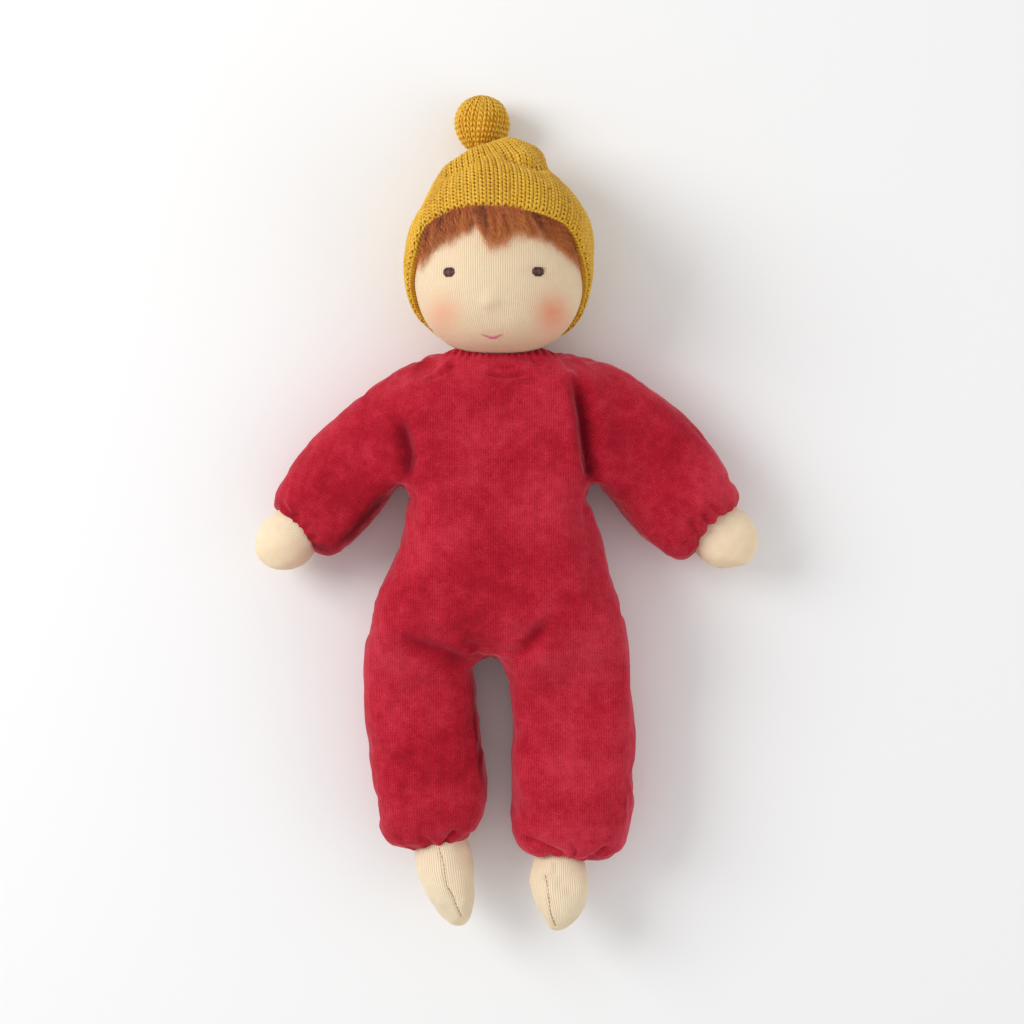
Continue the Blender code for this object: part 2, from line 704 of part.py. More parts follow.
def build_mouth(body):
    curve = bpy.data.curves.new("mouth_path", "CURVE")
    curve.dimensions = "3D"
    curve.bevel_depth = MOUTH_RADIUS
    curve.bevel_resolution = 1
    curve.use_fill_caps = True
    spline = curve.splines.new("POLY")
    spline.points.add(MOUTH_POINTS - 1)
    for index in range(MOUTH_POINTS):
        share = 2 * index / (MOUTH_POINTS - 1) - 1
        x = MOUTH_X + MOUTH_HALF_WIDTH * share
        y = MOUTH_Y + MOUTH_SAG * share ** 2
        place = Vector((x, y, face_height(x, y))) + face_slope(x, y) * (MOUTH_RADIUS + GAP)
        spline.points[index].co = (*place, 1)
    drawn = bpy.data.objects.new("mouth_path", curve)
    doll.objects.link(drawn)
    bpy.context.view_layer.update()
    mesh = bpy.data.meshes.new_from_object(drawn.evaluated_get(bpy.context.evaluated_depsgraph_get()))
    bpy.data.objects.remove(drawn)
    shape = bmesh.new()
    shape.from_mesh(mesh)
    bmesh.ops.remove_doubles(shape, verts=shape.verts, dist=MERGE_DISTANCE)
    bmesh.ops.recalc_face_normals(shape, faces=shape.faces)
    shape.to_mesh(mesh)
    shape.free()
    smooth(mesh)
    add_object("mouth", mesh, doll, pink_thread, body)


def build_hair(body):
    """The mohair patch under the cap, whose locks end in a ragged fringe."""
    hair = head_form("hair", HAIR_THICKNESS, collection=doll, material=mohair)
    outline = [
        (HEAD_HALF_WIDTH * across, FRINGE_BASE_Y - FRINGE_DEPTH * low) for across, low in FRINGE_SHARES
    ]
    outline.append((HEAD_HALF_WIDTH, HAIR_TOP_Y))
    outline.append((-HEAD_HALF_WIDTH, HAIR_TOP_Y))
    patch = prism("hair_patch", outline, HAIR_LOW_Z, REACH, lambda u, v, w: (u, v, w), collection=cutters)
    boolean(hair, patch, "INTERSECT")
    cut(hair, head_form("hair_seat", GAP, collection=cutters))
    rehang(hair, body)


def rehang(piece, body):
    """Parent a piece whose mesh is in world places."""
    for vertex in piece.data.vertices:
        vertex.co -= body.matrix_world.translation
    piece.parent = body


def build_head(body):
    neck_hollow = hollow("head_hollow", NECK_PIVOT, NECK_RADIUS + GAP)
    skin = head_form("head_skin", 0, collection=doll, material=jersey)
    cut(skin, head_form("head_inside", -JERSEY_THICKNESS, collection=cutters), neck_hollow)
    rehang(skin, body)
    stuffing = head_form("head_ball", -JERSEY_THICKNESS - GAP, collection=doll, material=wool)
    nose_top = Vector((NOSE_X, NOSE_Y, face_height(NOSE_X, NOSE_Y)))
    nose_place = nose_top - face_slope(NOSE_X, NOSE_Y) * (JERSEY_THICKNESS + GAP * 2 + NOSE_RADIUS)
    pocket = ball("nose_pocket", nose_place, NOSE_RADIUS + GAP, BEAD_SEGMENTS, BEAD_RINGS,
                  collection=cutters)
    mouth_of_pocket = loft("nose_pocket_mouth", Frame(nose_place, (0, 0, 1), (1, 0, 0), (0, 1, 0)),
                           [Ring(0, NOSE_RADIUS + GAP, NOSE_RADIUS + GAP, power=2),
                            Ring(OVERRUN, NOSE_RADIUS + GAP, NOSE_RADIUS + GAP, power=2)],
                           BEAD_SEGMENTS, collection=cutters)
    cut(stuffing, neck_hollow, pocket, mouth_of_pocket)
    rehang(stuffing, body)
    rehang(ball("nose_bead", nose_place, NOSE_RADIUS, BEAD_SEGMENTS, BEAD_RINGS, collection=doll,
                material=wool), body)
    build_eye("eye_right", RIGHT_EYE_X, body)
    build_eye("eye_left", LEFT_EYE_X, body)
    build_mouth(body)
    build_hair(body)


def build_neck(body):
    """The head's tied tube: a turned profile, round the turning axis."""
    turn_up = sqrt(NECK_RADIUS ** 2 - NECK_TUBE_RADIUS ** 2)
    profile = []
    lowest = -atan2(turn_up, NECK_TUBE_RADIUS)
    for step in range(NECK_PROFILE_STEPS + 1):
        angle = pi / 2 + (lowest - pi / 2) * step / NECK_PROFILE_STEPS
        profile.append((NECK_RADIUS * cos(angle) if step else 0, NECK_RADIUS * sin(angle)))
    tie = NECK_TIE_Y - HEAD_BOTTOM
    shoulder = NECK_TUBE_RADIUS - NECK_TIE_RADIUS
    profile += [
        (NECK_TUBE_RADIUS, tie + THREAD_RADIUS * 2 + shoulder),
        (NECK_TIE_RADIUS, tie + THREAD_RADIUS * 2),
        (NECK_TIE_RADIUS, tie - THREAD_RADIUS * 2),
        (NECK_END_RADIUS, NECK_END_Y - HEAD_BOTTOM),
        (0, NECK_END_Y - HEAD_BOTTOM),
    ]
    mesh = bpy.data.meshes.new("neck_tube")
    mesh.from_pydata([(x, 0, z) for x, z in profile], [(i, i + 1) for i in range(len(profile) - 1)], [])
    mesh.materials.append(jersey)
    tube = bpy.data.objects.new("neck_tube", mesh)
    doll.objects.link(tube)
    tube.rotation_euler = (-pi / 2, 0, 0)
    tube.parent = body
    turned = tube.modifiers.new("turned", "SCREW")
    turned.angle = 2 * pi
    turned.steps = NECK_STEPS
    turned.render_steps = NECK_STEPS
    turned.use_merge_vertices = True
    turned.merge_threshold = MERGE_DISTANCE
    thread_ring("neck_tie", Frame(NECK_PIVOT, (0, 1, 0), (1, 0, 0)), tie,
                NECK_TIE_RADIUS + GAP + THREAD_RADIUS, collection=doll, material=red_thread, parent=body)


# Cap

def cap_rings(grow):
    rings = []
    half_width = HEAD_HALF_WIDTH + CAP_WALL
    half_depth = HEAD_HALF_DEPTH + CAP_WALL
    widest = CAP_WIDEST_Y - HEAD_MIDDLE_Y
    for step in range(2, HEAD_RINGS):
        ring = head_ring(-soft(cos(pi * step / HEAD_RINGS), HEAD_POWER), CAP_WALL + grow)
        if ring.along < widest - CROWN_BLEND:
            rings.append(ring)
    for along, width, depth, drop in CROWN_SHARES:
        rings.append(Ring(widest + (CAP_TOP - CAP_WIDEST_Y) * along, half_width * width + grow,
                          half_depth * depth + grow, up=-CAP_CROWN_DROP * drop, power=2))
    return rings


def build_cap(body):
    top = CAP_TOP - HEAD_MIDDLE_Y
    cap = loft("cap", HEAD_FRAME, cap_rings(0), CAP_SIDES, end=top, collection=doll, material=knit)
    side_y, side_z = CAP_RIM_SIDE_Y, CAP_RIM_SIDE_Z
    far = REACH / 2
    outline = [
        (side_y - CAP_RIM_SLOPE * far, side_z - far), (side_y + CAP_RIM_SLOPE * far, side_z + far),
        (-far, side_z + far), (-far, side_z - far),
    ]
    face_side = prism("cap_face_side", outline, -REACH, REACH, lambda u, v, w: (w, u, v), collection=cutters)
    nape = block("cap_nape", (-REACH, -REACH, -REACH), (REACH, CAP_NAPE_Y, REACH), collection=cutters)
    pompom_z = POMPOM_RADIUS - FLOOR_CUT
    seat = block("pompom_seat", (-REACH, POMPOM_WALL_Y, -REACH),
                 (REACH, REACH, pompom_z + POMPOM_RADIUS + GAP * 2), collection=cutters)
    pivot = Vector((POMPOM_X, POMPOM_WALL_Y, pompom_z))
    dimple = ball("pompom_dimple", pivot, POMPOM_KNOT_RADIUS + GAP, BEAD_SEGMENTS, BEAD_RINGS,
                  collection=cutters)
    inside = head_form("cap_inside", GAP, collection=cutters)
    hair_room = head_form("cap_hair_room", HAIR_THICKNESS + GAP, collection=cutters)
    room_low = (-HEAD_HALF_WIDTH - GAP, FRINGE_BASE_Y - FRINGE_DEPTH - GAP, HAIR_LOW_Z - GAP)
    room = block("cap_hair_side", room_low, (HEAD_HALF_WIDTH + GAP, HAIR_TOP_Y + GAP, REACH),
                 collection=cutters)
    boolean(hair_room, room, "INTERSECT")
    neck_room = hollow("cap_neck_room", NECK_PIVOT, NECK_RADIUS + GAP)
    cut(cap, inside, neck_room, hair_room, face_side, nape, seat, dimple, floor)
    rehang(cap, body)
    return pivot


def build_pompom(body, pivot):
    centre = pivot + Vector((0, POMPOM_KNOT_RADIUS + GAP + POMPOM_RADIUS, 0))
    cover = ball("pompom_cover", centre, POMPOM_RADIUS, POMPOM_SEGMENTS, POMPOM_RINGS, collection=doll,
                 material=knit)
    inside = ball("pompom_inside", centre, POMPOM_RADIUS - POMPOM_SHELL, POMPOM_SEGMENTS, POMPOM_RINGS,
                  collection=cutters)
    drawn_end = loft("pompom_drawn_end", Frame(centre, (0, -1, 0), (1, 0, 0)),
                     [Ring(0, POMPOM_OPENING_RADIUS, POMPOM_OPENING_RADIUS, power=2),
                      Ring(POMPOM_RADIUS + OVERRUN, POMPOM_OPENING_RADIUS, POMPOM_OPENING_RADIUS, power=2)],
                     OPENING_SIDES, collection=cutters)
    cut(cover, inside, drawn_end, floor)
    rehang(cover, body)
    rehang(ball("pompom_stuffing", centre, POMPOM_RADIUS - POMPOM_SHELL - GAP, POMPOM_SEGMENTS,
                POMPOM_RINGS, collection=doll, material=wool), body)
    rehang(ball("pompom_knot", pivot, POMPOM_KNOT_RADIUS, KNOT_SEGMENTS, KNOT_RINGS, collection=doll,
                material=knit), body)


# The whole doll

def main():
    root = empty("torso_body", (0, 0, 0))
    shoulder_z = SHOULDER_RADIUS - FLOOR_CUT
    hip_z = HIP_RADIUS - FLOOR_CUT
    arms, legs = [], []
    for name, side, length, half_width, drop in (
        ("right", -1, RIGHT_ARM_LENGTH, RIGHT_ARM_HALF_WIDTH, RIGHT_ARM_DROP),
        ("left", 1, LEFT_ARM_LENGTH, LEFT_ARM_HALF_WIDTH, LEFT_ARM_DROP),
    ):
        along = (side * cos(drop), -sin(drop), 0)
        across = (-along[1], along[0], 0)
        arms.append(Limb(name, (side * SHOULDER_X, SHOULDER_Y, shoulder_z), along, across, length,
                         half_width, ARM_HALF_DEPTH, SHOULDER_RADIUS))
    for name, x, length, half_width in (
        ("right", RIGHT_LEG_X, RIGHT_LEG_LENGTH, RIGHT_LEG_HALF_WIDTH),
        ("left", LEFT_LEG_X, LEFT_LEG_LENGTH, LEFT_LEG_HALF_WIDTH),
    ):
        legs.append(Limb(f"leg_{name}", (x, HIP_Y, hip_z), (0, -1, 0), (1, 0, 0), length, half_width,
                         HIP_RADIUS, HIP_RADIUS))
    build_torso(root, arms, legs)

    hand_sizes = {
        "right": (RIGHT_HAND_LENGTH, RIGHT_HAND_HALF_WIDTH, HAND_HALF_DEPTH, WRIST_RADIUS, 0, 0),
        "left": (LEFT_HAND_LENGTH, LEFT_HAND_HALF_WIDTH, HAND_HALF_DEPTH, WRIST_RADIUS, 0, 0),
    }
    for arm in arms:
        trunk = torso_form(f"{arm.name}_trunk_side", GAP, collection=cutters)
        cut(trunk, ball(f"{arm.name}_shoulder_keep", shoulder_middle(arm), SHOULDER_RADIUS + GAP / 2,
                        scale=SHOULDER_SCALE, collection=cutters))
        body = empty(f"arm_{arm.name}_body", arm.pivot, root)
        wrist = arm.frame.point(arm.length - WRIST_INSET, 0, arm.half_depth - arm.radius)
        wrist_frame = Frame(wrist, arm.frame.along, arm.frame.side)
        build_sleeve(arm, body, wrist_frame, trunk)
        hand = empty(f"hand_{arm.name}_body", wrist, body)
        build_end("hand", arm.name, wrist_frame, hand, hand_sizes[arm.name], MITT_SHARES, MITT_TIP_SHARES)

    foot_sizes = {
        "leg_right": (FOOT_LENGTH, RIGHT_FOOT_HALF_WIDTH, FOOT_HALF_DEPTH, ANKLE_RADIUS, FOOT_TOE_RISE,
                      RIGHT_FOOT_TURN),
        "leg_left": (FOOT_LENGTH, LEFT_FOOT_HALF_WIDTH, FOOT_HALF_DEPTH, ANKLE_RADIUS, FOOT_TOE_RISE,
                     -LEFT_FOOT_TURN),
    }
    for leg in legs:
        side = leg.name.split("_")[1]
        body = empty(f"{leg.name}_body", leg.pivot, root)
        across = ANKLE_SHIFT if side == "right" else -ANKLE_SHIFT
        ankle = leg.frame.point(leg.length - ANKLE_INSET, across)
        ankle_frame = Frame(ankle, leg.frame.along, leg.frame.side)
        build_trouser(Limb(side, leg.pivot, leg.frame.along, leg.frame.side, leg.length, leg.half_width,
                           leg.half_depth, leg.radius), body, ankle_frame, across)
        foot = empty(f"foot_{side}_body", ankle, body)
        build_end("foot", side, ankle_frame, foot, foot_sizes[leg.name], FOOT_SHARES, FOOT_TOE_SHARES)

    neck = empty("neck_body", NECK_PIVOT, root)
    build_neck(neck)
    head = empty("head_body", NECK_PIVOT, neck)
    build_head(head)
    cap = empty("cap_body", HEAD_FRAME.origin, head)
    pivot = build_cap(cap)
    pompom = empty("pompom_body", pivot, cap)
    build_pompom(pompom, pivot)


main()
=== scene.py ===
"""Looks of the waldorf doll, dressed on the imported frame: velour, jersey, rib knit and mohair.

Everything is in metres in the frame of the solids: +Z out of the belly, +Y towards the head, +X
towards the doll's left arm, and the back rests on z = 0. Each sub-assembly is a class that holds its
own sizes, builds its meshes and hands them to the bodies that carry them.
"""
from __future__ import annotations

import logging
import math
from dataclasses import dataclass, field
from enum import Enum
from typing import Sequence

import bpy
import numpy as np
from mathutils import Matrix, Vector
from mathutils.bvhtree import BVHTree

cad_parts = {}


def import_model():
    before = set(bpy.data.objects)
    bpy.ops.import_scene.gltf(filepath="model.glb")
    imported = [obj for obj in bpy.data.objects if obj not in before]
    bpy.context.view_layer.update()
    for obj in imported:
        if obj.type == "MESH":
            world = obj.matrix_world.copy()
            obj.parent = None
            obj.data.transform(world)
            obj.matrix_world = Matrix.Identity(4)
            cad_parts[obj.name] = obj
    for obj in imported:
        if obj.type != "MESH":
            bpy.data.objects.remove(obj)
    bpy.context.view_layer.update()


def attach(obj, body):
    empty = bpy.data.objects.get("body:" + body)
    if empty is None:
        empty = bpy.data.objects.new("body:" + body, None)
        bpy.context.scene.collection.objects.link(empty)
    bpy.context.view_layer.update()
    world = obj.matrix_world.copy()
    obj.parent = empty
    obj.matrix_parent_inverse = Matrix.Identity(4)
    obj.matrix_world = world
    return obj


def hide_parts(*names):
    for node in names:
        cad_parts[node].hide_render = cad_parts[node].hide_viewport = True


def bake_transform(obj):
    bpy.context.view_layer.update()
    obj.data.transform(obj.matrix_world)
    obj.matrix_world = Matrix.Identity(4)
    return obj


log = logging.getLogger("waldorf_doll")
MM = 0.001
TURN = 2 * math.pi
GROUND_TONE = 0.05
Triple = tuple[float, float, float]
Colour = tuple[float, float, float]


class Slot(Enum):
    """The slots of the record that the finishes stand for."""

    VELOUR = "velour"
    JERSEY = "jersey"
    RED_THREAD = "red_thread"
    BROWN_THREAD = "brown_thread"
    PINK_THREAD = "pink_thread"
    MOHAIR = "mohair"
    RIB_KNIT = "rib_knit"


# Plain sums and curves

def unit(rows: np.ndarray) -> np.ndarray:
    """Rows of vectors, each scaled to length one."""
    return rows / np.maximum(np.linalg.norm(rows, axis=-1, keepdims=True), 1e-12)


def ease(value: np.ndarray | float, low: float, high: float) -> np.ndarray:
    """A smooth step from 0 at low to 1 at high, which may also run downwards."""
    share = np.clip((np.asarray(value, float) - low) / (high - low), 0, 1)
    return share * share * (3 - 2 * share)


def bell(value: np.ndarray, centre: float, width: float) -> np.ndarray:
    """A smooth bump of height one round a centre."""
    return np.exp(-((value - centre) / width) ** 2)


def soft_wave(angle: np.ndarray, power: float) -> np.ndarray:
    """A cosine drawn out to a rounder square.

    Args:
        angle: Angles in radians.
        power: 2 for a plain cosine, more for a squarer one.

    Returns:
        The drawn out cosine of each angle.
    """
    value = np.cos(angle)
    return np.sign(value) * np.abs(value) ** (2 / power)


@dataclass
class Ripples:
    """Seeded, smooth and random undulation of a place, made of waves in many directions.

    Args:
        seed: Fixes the waves, so each run gives the same cloth.
        wavelength: Mean distance from crest to crest, in metres.
        waves: How many waves are summed.
    """

    seed: int
    wavelength: float
    waves: int = 14

    def __call__(self, places: np.ndarray) -> np.ndarray:
        """Height of the undulation, about -1 to 1, at each place (n, 3)."""
        random = np.random.default_rng(self.seed)
        heading = unit(random.normal(size=(self.waves, 3)))
        number = TURN / (self.wavelength * random.uniform(0.6, 1.6, self.waves))
        phase = random.uniform(0, TURN, self.waves)
        total = np.sin(places @ (heading * number[:, None]).T + phase).sum(axis=1)
        return total / math.sqrt(self.waves)


def new_mesh(name: str, points: np.ndarray, faces: np.ndarray) -> bpy.types.Object:
    """A smooth shaded mesh object from points and faces.

    Args:
        name: The piece's name.
        points: Places of the vertices (n, 3), in metres.
        faces: Corner numbers of each face (m, 4).

    Returns:
        The new object, linked to the scene.
    """
    mesh = bpy.data.meshes.new(name)
    mesh.from_pydata(points.tolist(), [], faces.tolist())
    mesh.validate()
    mesh.shade_smooth()
    piece = bpy.data.objects.new(name, mesh)
    bpy.context.scene.collection.objects.link(piece)
    return piece


def places_of(piece: bpy.types.Object) -> np.ndarray:
    """The vertices of a mesh object as rows (n, 3)."""
    flat = np.zeros(len(piece.data.vertices) * 3, np.float32)
    piece.data.vertices.foreach_get("co", flat)
    return flat.reshape(-1, 3).astype(float)


def set_places(piece: bpy.types.Object, places: np.ndarray) -> None:
    """Moves the vertices of a mesh object to the given rows."""
    piece.data.vertices.foreach_set("co", places.astype(np.float32).ravel())
    piece.data.update()


def normals_of(piece: bpy.types.Object) -> np.ndarray:
    """The vertex normals of a mesh object as rows (n, 3)."""
    flat = np.zeros(len(piece.data.vertices) * 3, np.float32)
    piece.data.vertex_normals.foreach_get("vector", flat)
    return flat.reshape(-1, 3).astype(float)


def face_out(piece: bpy.types.Object, outward: np.ndarray) -> None:
    """Turns a piece's faces over if they look against the outward directions (n, 3)."""
    if (normals_of(piece) * outward).sum() < 0:
        piece.data.flip_normals()


def paint(piece: bpy.types.Object, **layers: np.ndarray) -> None:
    """Stores vectors (n, 3) or numbers (n,) at the vertices by name, for the finishes to read."""
    for name, rows in layers.items():
        kind, key = ("FLOAT_VECTOR", "vector") if rows.ndim == 2 else ("FLOAT", "value")
        layer = piece.data.attributes.new(name, kind, "POINT")
        layer.data.foreach_set(key, rows.astype(np.float32).ravel())


def apply_modifiers(piece: bpy.types.Object) -> None:
    """Replaces a piece's mesh by what its modifiers make of it."""
    graph = bpy.context.evaluated_depsgraph_get()
    made = bpy.data.meshes.new_from_object(piece.evaluated_get(graph))
    piece.modifiers.clear()
    piece.data = made


def dress(piece: bpy.types.Object, material: bpy.types.Material) -> bpy.types.Object:
    """Gives a piece its only material."""
    piece.data.materials.clear()
    piece.data.materials.append(material)
    return piece


def grid_faces(rows: int, columns: int, closed: bool = True) -> np.ndarray:
    """Quads over a grid of vertices.

    Args:
        rows: Rows of vertices.
        columns: Vertices in each row.
        closed: Whether the last column joins the first.

    Returns:
        Corner numbers (n, 4).
    """
    row = np.arange(rows - 1)[:, None]
    column = np.arange(columns if closed else columns - 1)[None, :]
    after = (column + 1) % columns
    corners = (row * columns + column, row * columns + after,
               (row + 1) * columns + after, (row + 1) * columns + column)
    return np.stack([c.ravel() for c in np.broadcast_arrays(*corners)], axis=1)


def grid_uv(piece: bpy.types.Object, rows: int, columns: int, across: float, along: float) -> None:
    """Lays a closed grid's UV map in stitches: wales across and courses along.

    Args:
        piece: Object whose first faces are the grid's.
        rows: Rows of vertices.
        columns: Vertices in each row.
        across: Wales all the way round.
        along: Courses from the first row to the last.
    """
    layer = piece.data.uv_layers.new(name="stitches")
    corners = np.zeros(len(piece.data.loops), np.int32)
    piece.data.loops.foreach_get("vertex_index", corners)
    quads = corners[: 4 * (rows - 1) * columns].reshape(-1, 4)
    row, column = quads // columns, quads % columns
    wraps = column.max(axis=1, keepdims=True) - column.min(axis=1, keepdims=True) > 1
    column = np.where(wraps & (column == 0), columns, column)
    flat = np.zeros(len(corners) * 2, np.float32)
    grid = np.stack([column / columns * across, row / (rows - 1) * along], axis=2).reshape(-1)
    flat[: grid.size] = grid
    layer.data.foreach_set("uv", flat)


# Finishes

class Value:
    """One socket of a material's nodes, on which sums are written as Python expressions."""

    def __init__(self, nodes: "Nodes", socket: bpy.types.NodeSocket) -> None:
        """Wraps a socket of a node tree."""
        self.nodes = nodes
        self.socket = socket

    def _math(self, operation: str, *others: "Value | float") -> "Value":
        """A Math node of this value and others."""
        return self.nodes.add("ShaderNodeMath", {"operation": operation}, [self, *others])

    def __add__(self, other: "Value | float") -> "Value":
        """This value plus another."""
        return self._math("ADD", other)

    __radd__ = __add__

    def __sub__(self, other: "Value | float") -> "Value":
        """This value less another."""
        return self._math("SUBTRACT", other)

    def __rsub__(self, other: float) -> "Value":
        """A number less this value."""
        return self.nodes.add("ShaderNodeMath", {"operation": "SUBTRACT"}, [other, self])

    def __mul__(self, other: "Value | float") -> "Value":
        """This value times another."""
        return self._math("MULTIPLY", other)

    __rmul__ = __mul__

    def __truediv__(self, other: "Value | float") -> "Value":
        """This value divided by another."""
        return self._math("DIVIDE", other)

    def power(self, exponent: float) -> "Value":
        """This value raised to a power."""
        return self._math("POWER", exponent)

    def sine(self) -> "Value":
        """The sine of this value."""
        return self._math("SINE")

    def absolute(self) -> "Value":
        """This value without its sign."""
        return self._math("ABSOLUTE")

    def clamped(self) -> "Value":
        """This value held between 0 and 1."""
        return self.nodes.add("ShaderNodeClamp", {}, [self])

    def wave(self, length: float) -> "Value":
        """A wave between 0 and 1 that repeats each time this value grows by a length."""
        return ((self * (TURN / length)).sine() + 1) / 2

    def between(self, low: float, high: float) -> "Value":
        """A smooth step of this value from 0 at low to 1 at high."""
        settings = {"interpolation_type": "SMOOTHSTEP"}
        return self.nodes.add("ShaderNodeMapRange", settings, [self, low, high, 0.0, 1.0])


class Nodes:
    """A material's node tree, with one Principled shader."""

    def __init__(self, name: str) -> None:
        """Makes a material of that name with its default shader."""
        self.material = bpy.data.materials.new(name)
        self.material.use_nodes = True
        self.tree = self.material.node_tree
        self.shader = self.tree.nodes["Principled BSDF"]

    def feed(self, socket: bpy.types.NodeSocket, value: "Value | float | Sequence[float]") -> None:
        """Links a value to a socket, or sets the socket to a constant."""
        if isinstance(value, Value):
            self.tree.links.new(value.socket, socket)
        elif isinstance(value, (int, float)):
            socket.default_value = value
        else:
            padded = tuple(value) + (1.0,) * (len(socket.default_value) - len(value))
            socket.default_value = padded

    def add(
        self,
        kind: str,
        settings: dict[str, object],
        inputs: Sequence | dict[str, object] = (),
        output: int | str = 0,
    ) -> Value:
        """Adds any node.

        Args:
            kind: Type of the node, such as ShaderNodeMath.
            settings: Its settings, set first. "stops" gives a colour ramp's (place, colour) pairs.
            inputs: Values of its sockets in order, or by name.
            output: The socket that is handed back, by number or name.

        Returns:
            The node's output.
        """
        node = self.tree.nodes.new(kind)
        for key, setting in settings.items():
            if key == "stops":
                self._set_stops(node.color_ramp, setting)
            else:
                setattr(node, key, setting)
        named = inputs.items() if isinstance(inputs, dict) else enumerate(inputs)
        for key, value in named:
            self.feed(node.inputs[key], value)
        return Value(self, node.outputs[output])

    @staticmethod
    def _set_stops(ramp: bpy.types.ColorRamp, stops: Sequence[tuple[float, Colour]]) -> None:
        """Writes the stops of a colour ramp."""
        while len(ramp.elements) < len(stops):
            ramp.elements.new(1.0)
        for element, (place, colour) in zip(ramp.elements, stops):
            element.position = place
            element.color = (*colour, 1.0)

    def noise(self, vector: Value, scale: float, detail: float = 3.0, rough: float = 0.55) -> Value:
        """Cloudy noise of about 0 to 1 at a place."""
        inputs = {"Vector": vector, "Scale": scale, "Detail": detail, "Roughness": rough}
        return self.add("ShaderNodeTexNoise", {}, inputs)

    def ramp(self, level: Value, *stops: tuple[float, Colour]) -> Value:
        """A colour that runs through stops as the level goes from 0 to 1."""
        return self.add("ShaderNodeValToRGB", {"stops": stops}, [level])

    def mix(self, share: "Value | float", first: "Value | Colour", second: "Value | Colour") -> Value:
        """A colour between two others."""
        node = self.tree.nodes.new("ShaderNodeMix")
        node.data_type = "RGBA"
        for key, value in ((0, share), (6, first), (7, second)):
            self.feed(node.inputs[key], value)
        return Value(self, node.outputs[2])

    def stored(self, name: str, output: str = "Vector") -> Value:
        """What a piece's vertices store under a name."""
        return self.add("ShaderNodeAttribute", {"attribute_name": name}, [], output)

    def parts(self, vector: Value) -> list[Value]:
        """The three parts of a vector."""
        node = self.tree.nodes.new("ShaderNodeSeparateXYZ")
        self.feed(node.inputs[0], vector)
        return [Value(self, output) for output in node.outputs]

    def bump(self, height: Value, distance: float, strength: float = 1.0) -> None:
        """Feeds the shader's Normal from a height of 0 to 1 that stands for a distance."""
        inputs = {"Strength": strength, "Distance": distance, "Height": height}
        self.feed(self.shader.inputs["Normal"], self.add("ShaderNodeBump", {}, inputs))

    def finish(self, **sockets: "Value | float | Sequence[float]") -> bpy.types.Material:
        """Feeds the shader's sockets, named with underscores for spaces.

        Returns:
            The finished material.
        """
        for key, value in sockets.items():
            self.feed(self.shader.inputs[key.replace("_", " ")], value)
        return self.material


def srgb(red: int, green: int, blue: int) -> Colour:
    """A colour as a screen shows it, from 0 to 255, in the linear values that shaders use."""
    shares = [channel / 255 for channel in (red, green, blue)]
    return tuple(s / 12.92 if s <= 0.04045 else ((s + 0.055) / 1.055) ** 2.4 for s in shares)


@dataclass(frozen=True)
class Velour:
    """Cotton velour with a brushed nap: soft light and dark patches over fine knit lines, with painted shade
    in its creases.
    """

    dark: Colour = srgb(112, 4, 22)
    middle: Colour = srgb(172, 21, 41)
    light: Colour = srgb(216, 62, 82)
    wale: float = 0.00105
    patch: float = 0.020

    def material(self) -> bpy.types.Material:
        """The finish as nodes; it reads each vertex's rest place, its weave and the painted shade of its
        creases.
        """
        nodes = Nodes("crimson_velour")
        rest = nodes.stored("rest")
        hollow = nodes.stored("hollow", "Fac")
        patches = nodes.noise(rest, 1 / self.patch, 4.0, 0.6)
        streaks = nodes.noise(rest, 4.5 / self.patch, 3.0, 0.65)
        fibres = nodes.noise(rest, 2.2 / self.wale, 2.0, 0.7)
        across, along, upright = nodes.parts(nodes.stored("weave"))
        flank = upright.between(0.62, 0.36)
        side_wales = nodes.parts(rest)[2].wave(self.wale)
        lines = across.wave(self.wale) * (1 - flank) + side_wales * flank
        courses = along.wave(0.8 * self.wale)
        slow = nodes.noise(rest, 0.36 / self.patch, 1.0, 0.5)
        nap = (patches - 0.5) * 0.62 + (streaks - 0.5) * 0.45 + (fibres - 0.5) * 0.9 + (slow - 0.5) * 0.55
        grain = lines * 0.13 + courses * 0.05
        # Painted shade: creases, pleats and the dark bands along the undersides darken the nap.
        level = (nap + 0.475 + grain - hollow * 0.6).clamped()
        colour = nodes.ramp(level, (0.0, self.dark), (0.48, self.middle), (1.0, self.light))
        nodes.bump(fibres * 0.75 + lines * 0.2 + courses * 0.08, 0.0004, 0.7)
        return nodes.finish(
            Base_Color=colour,
            Roughness=0.92,
            Specular_IOR_Level=0.12,
            Sheen_Weight=1.0,
            Sheen_Roughness=0.36,
            Sheen_Tint=srgb(255, 132, 146),
        )


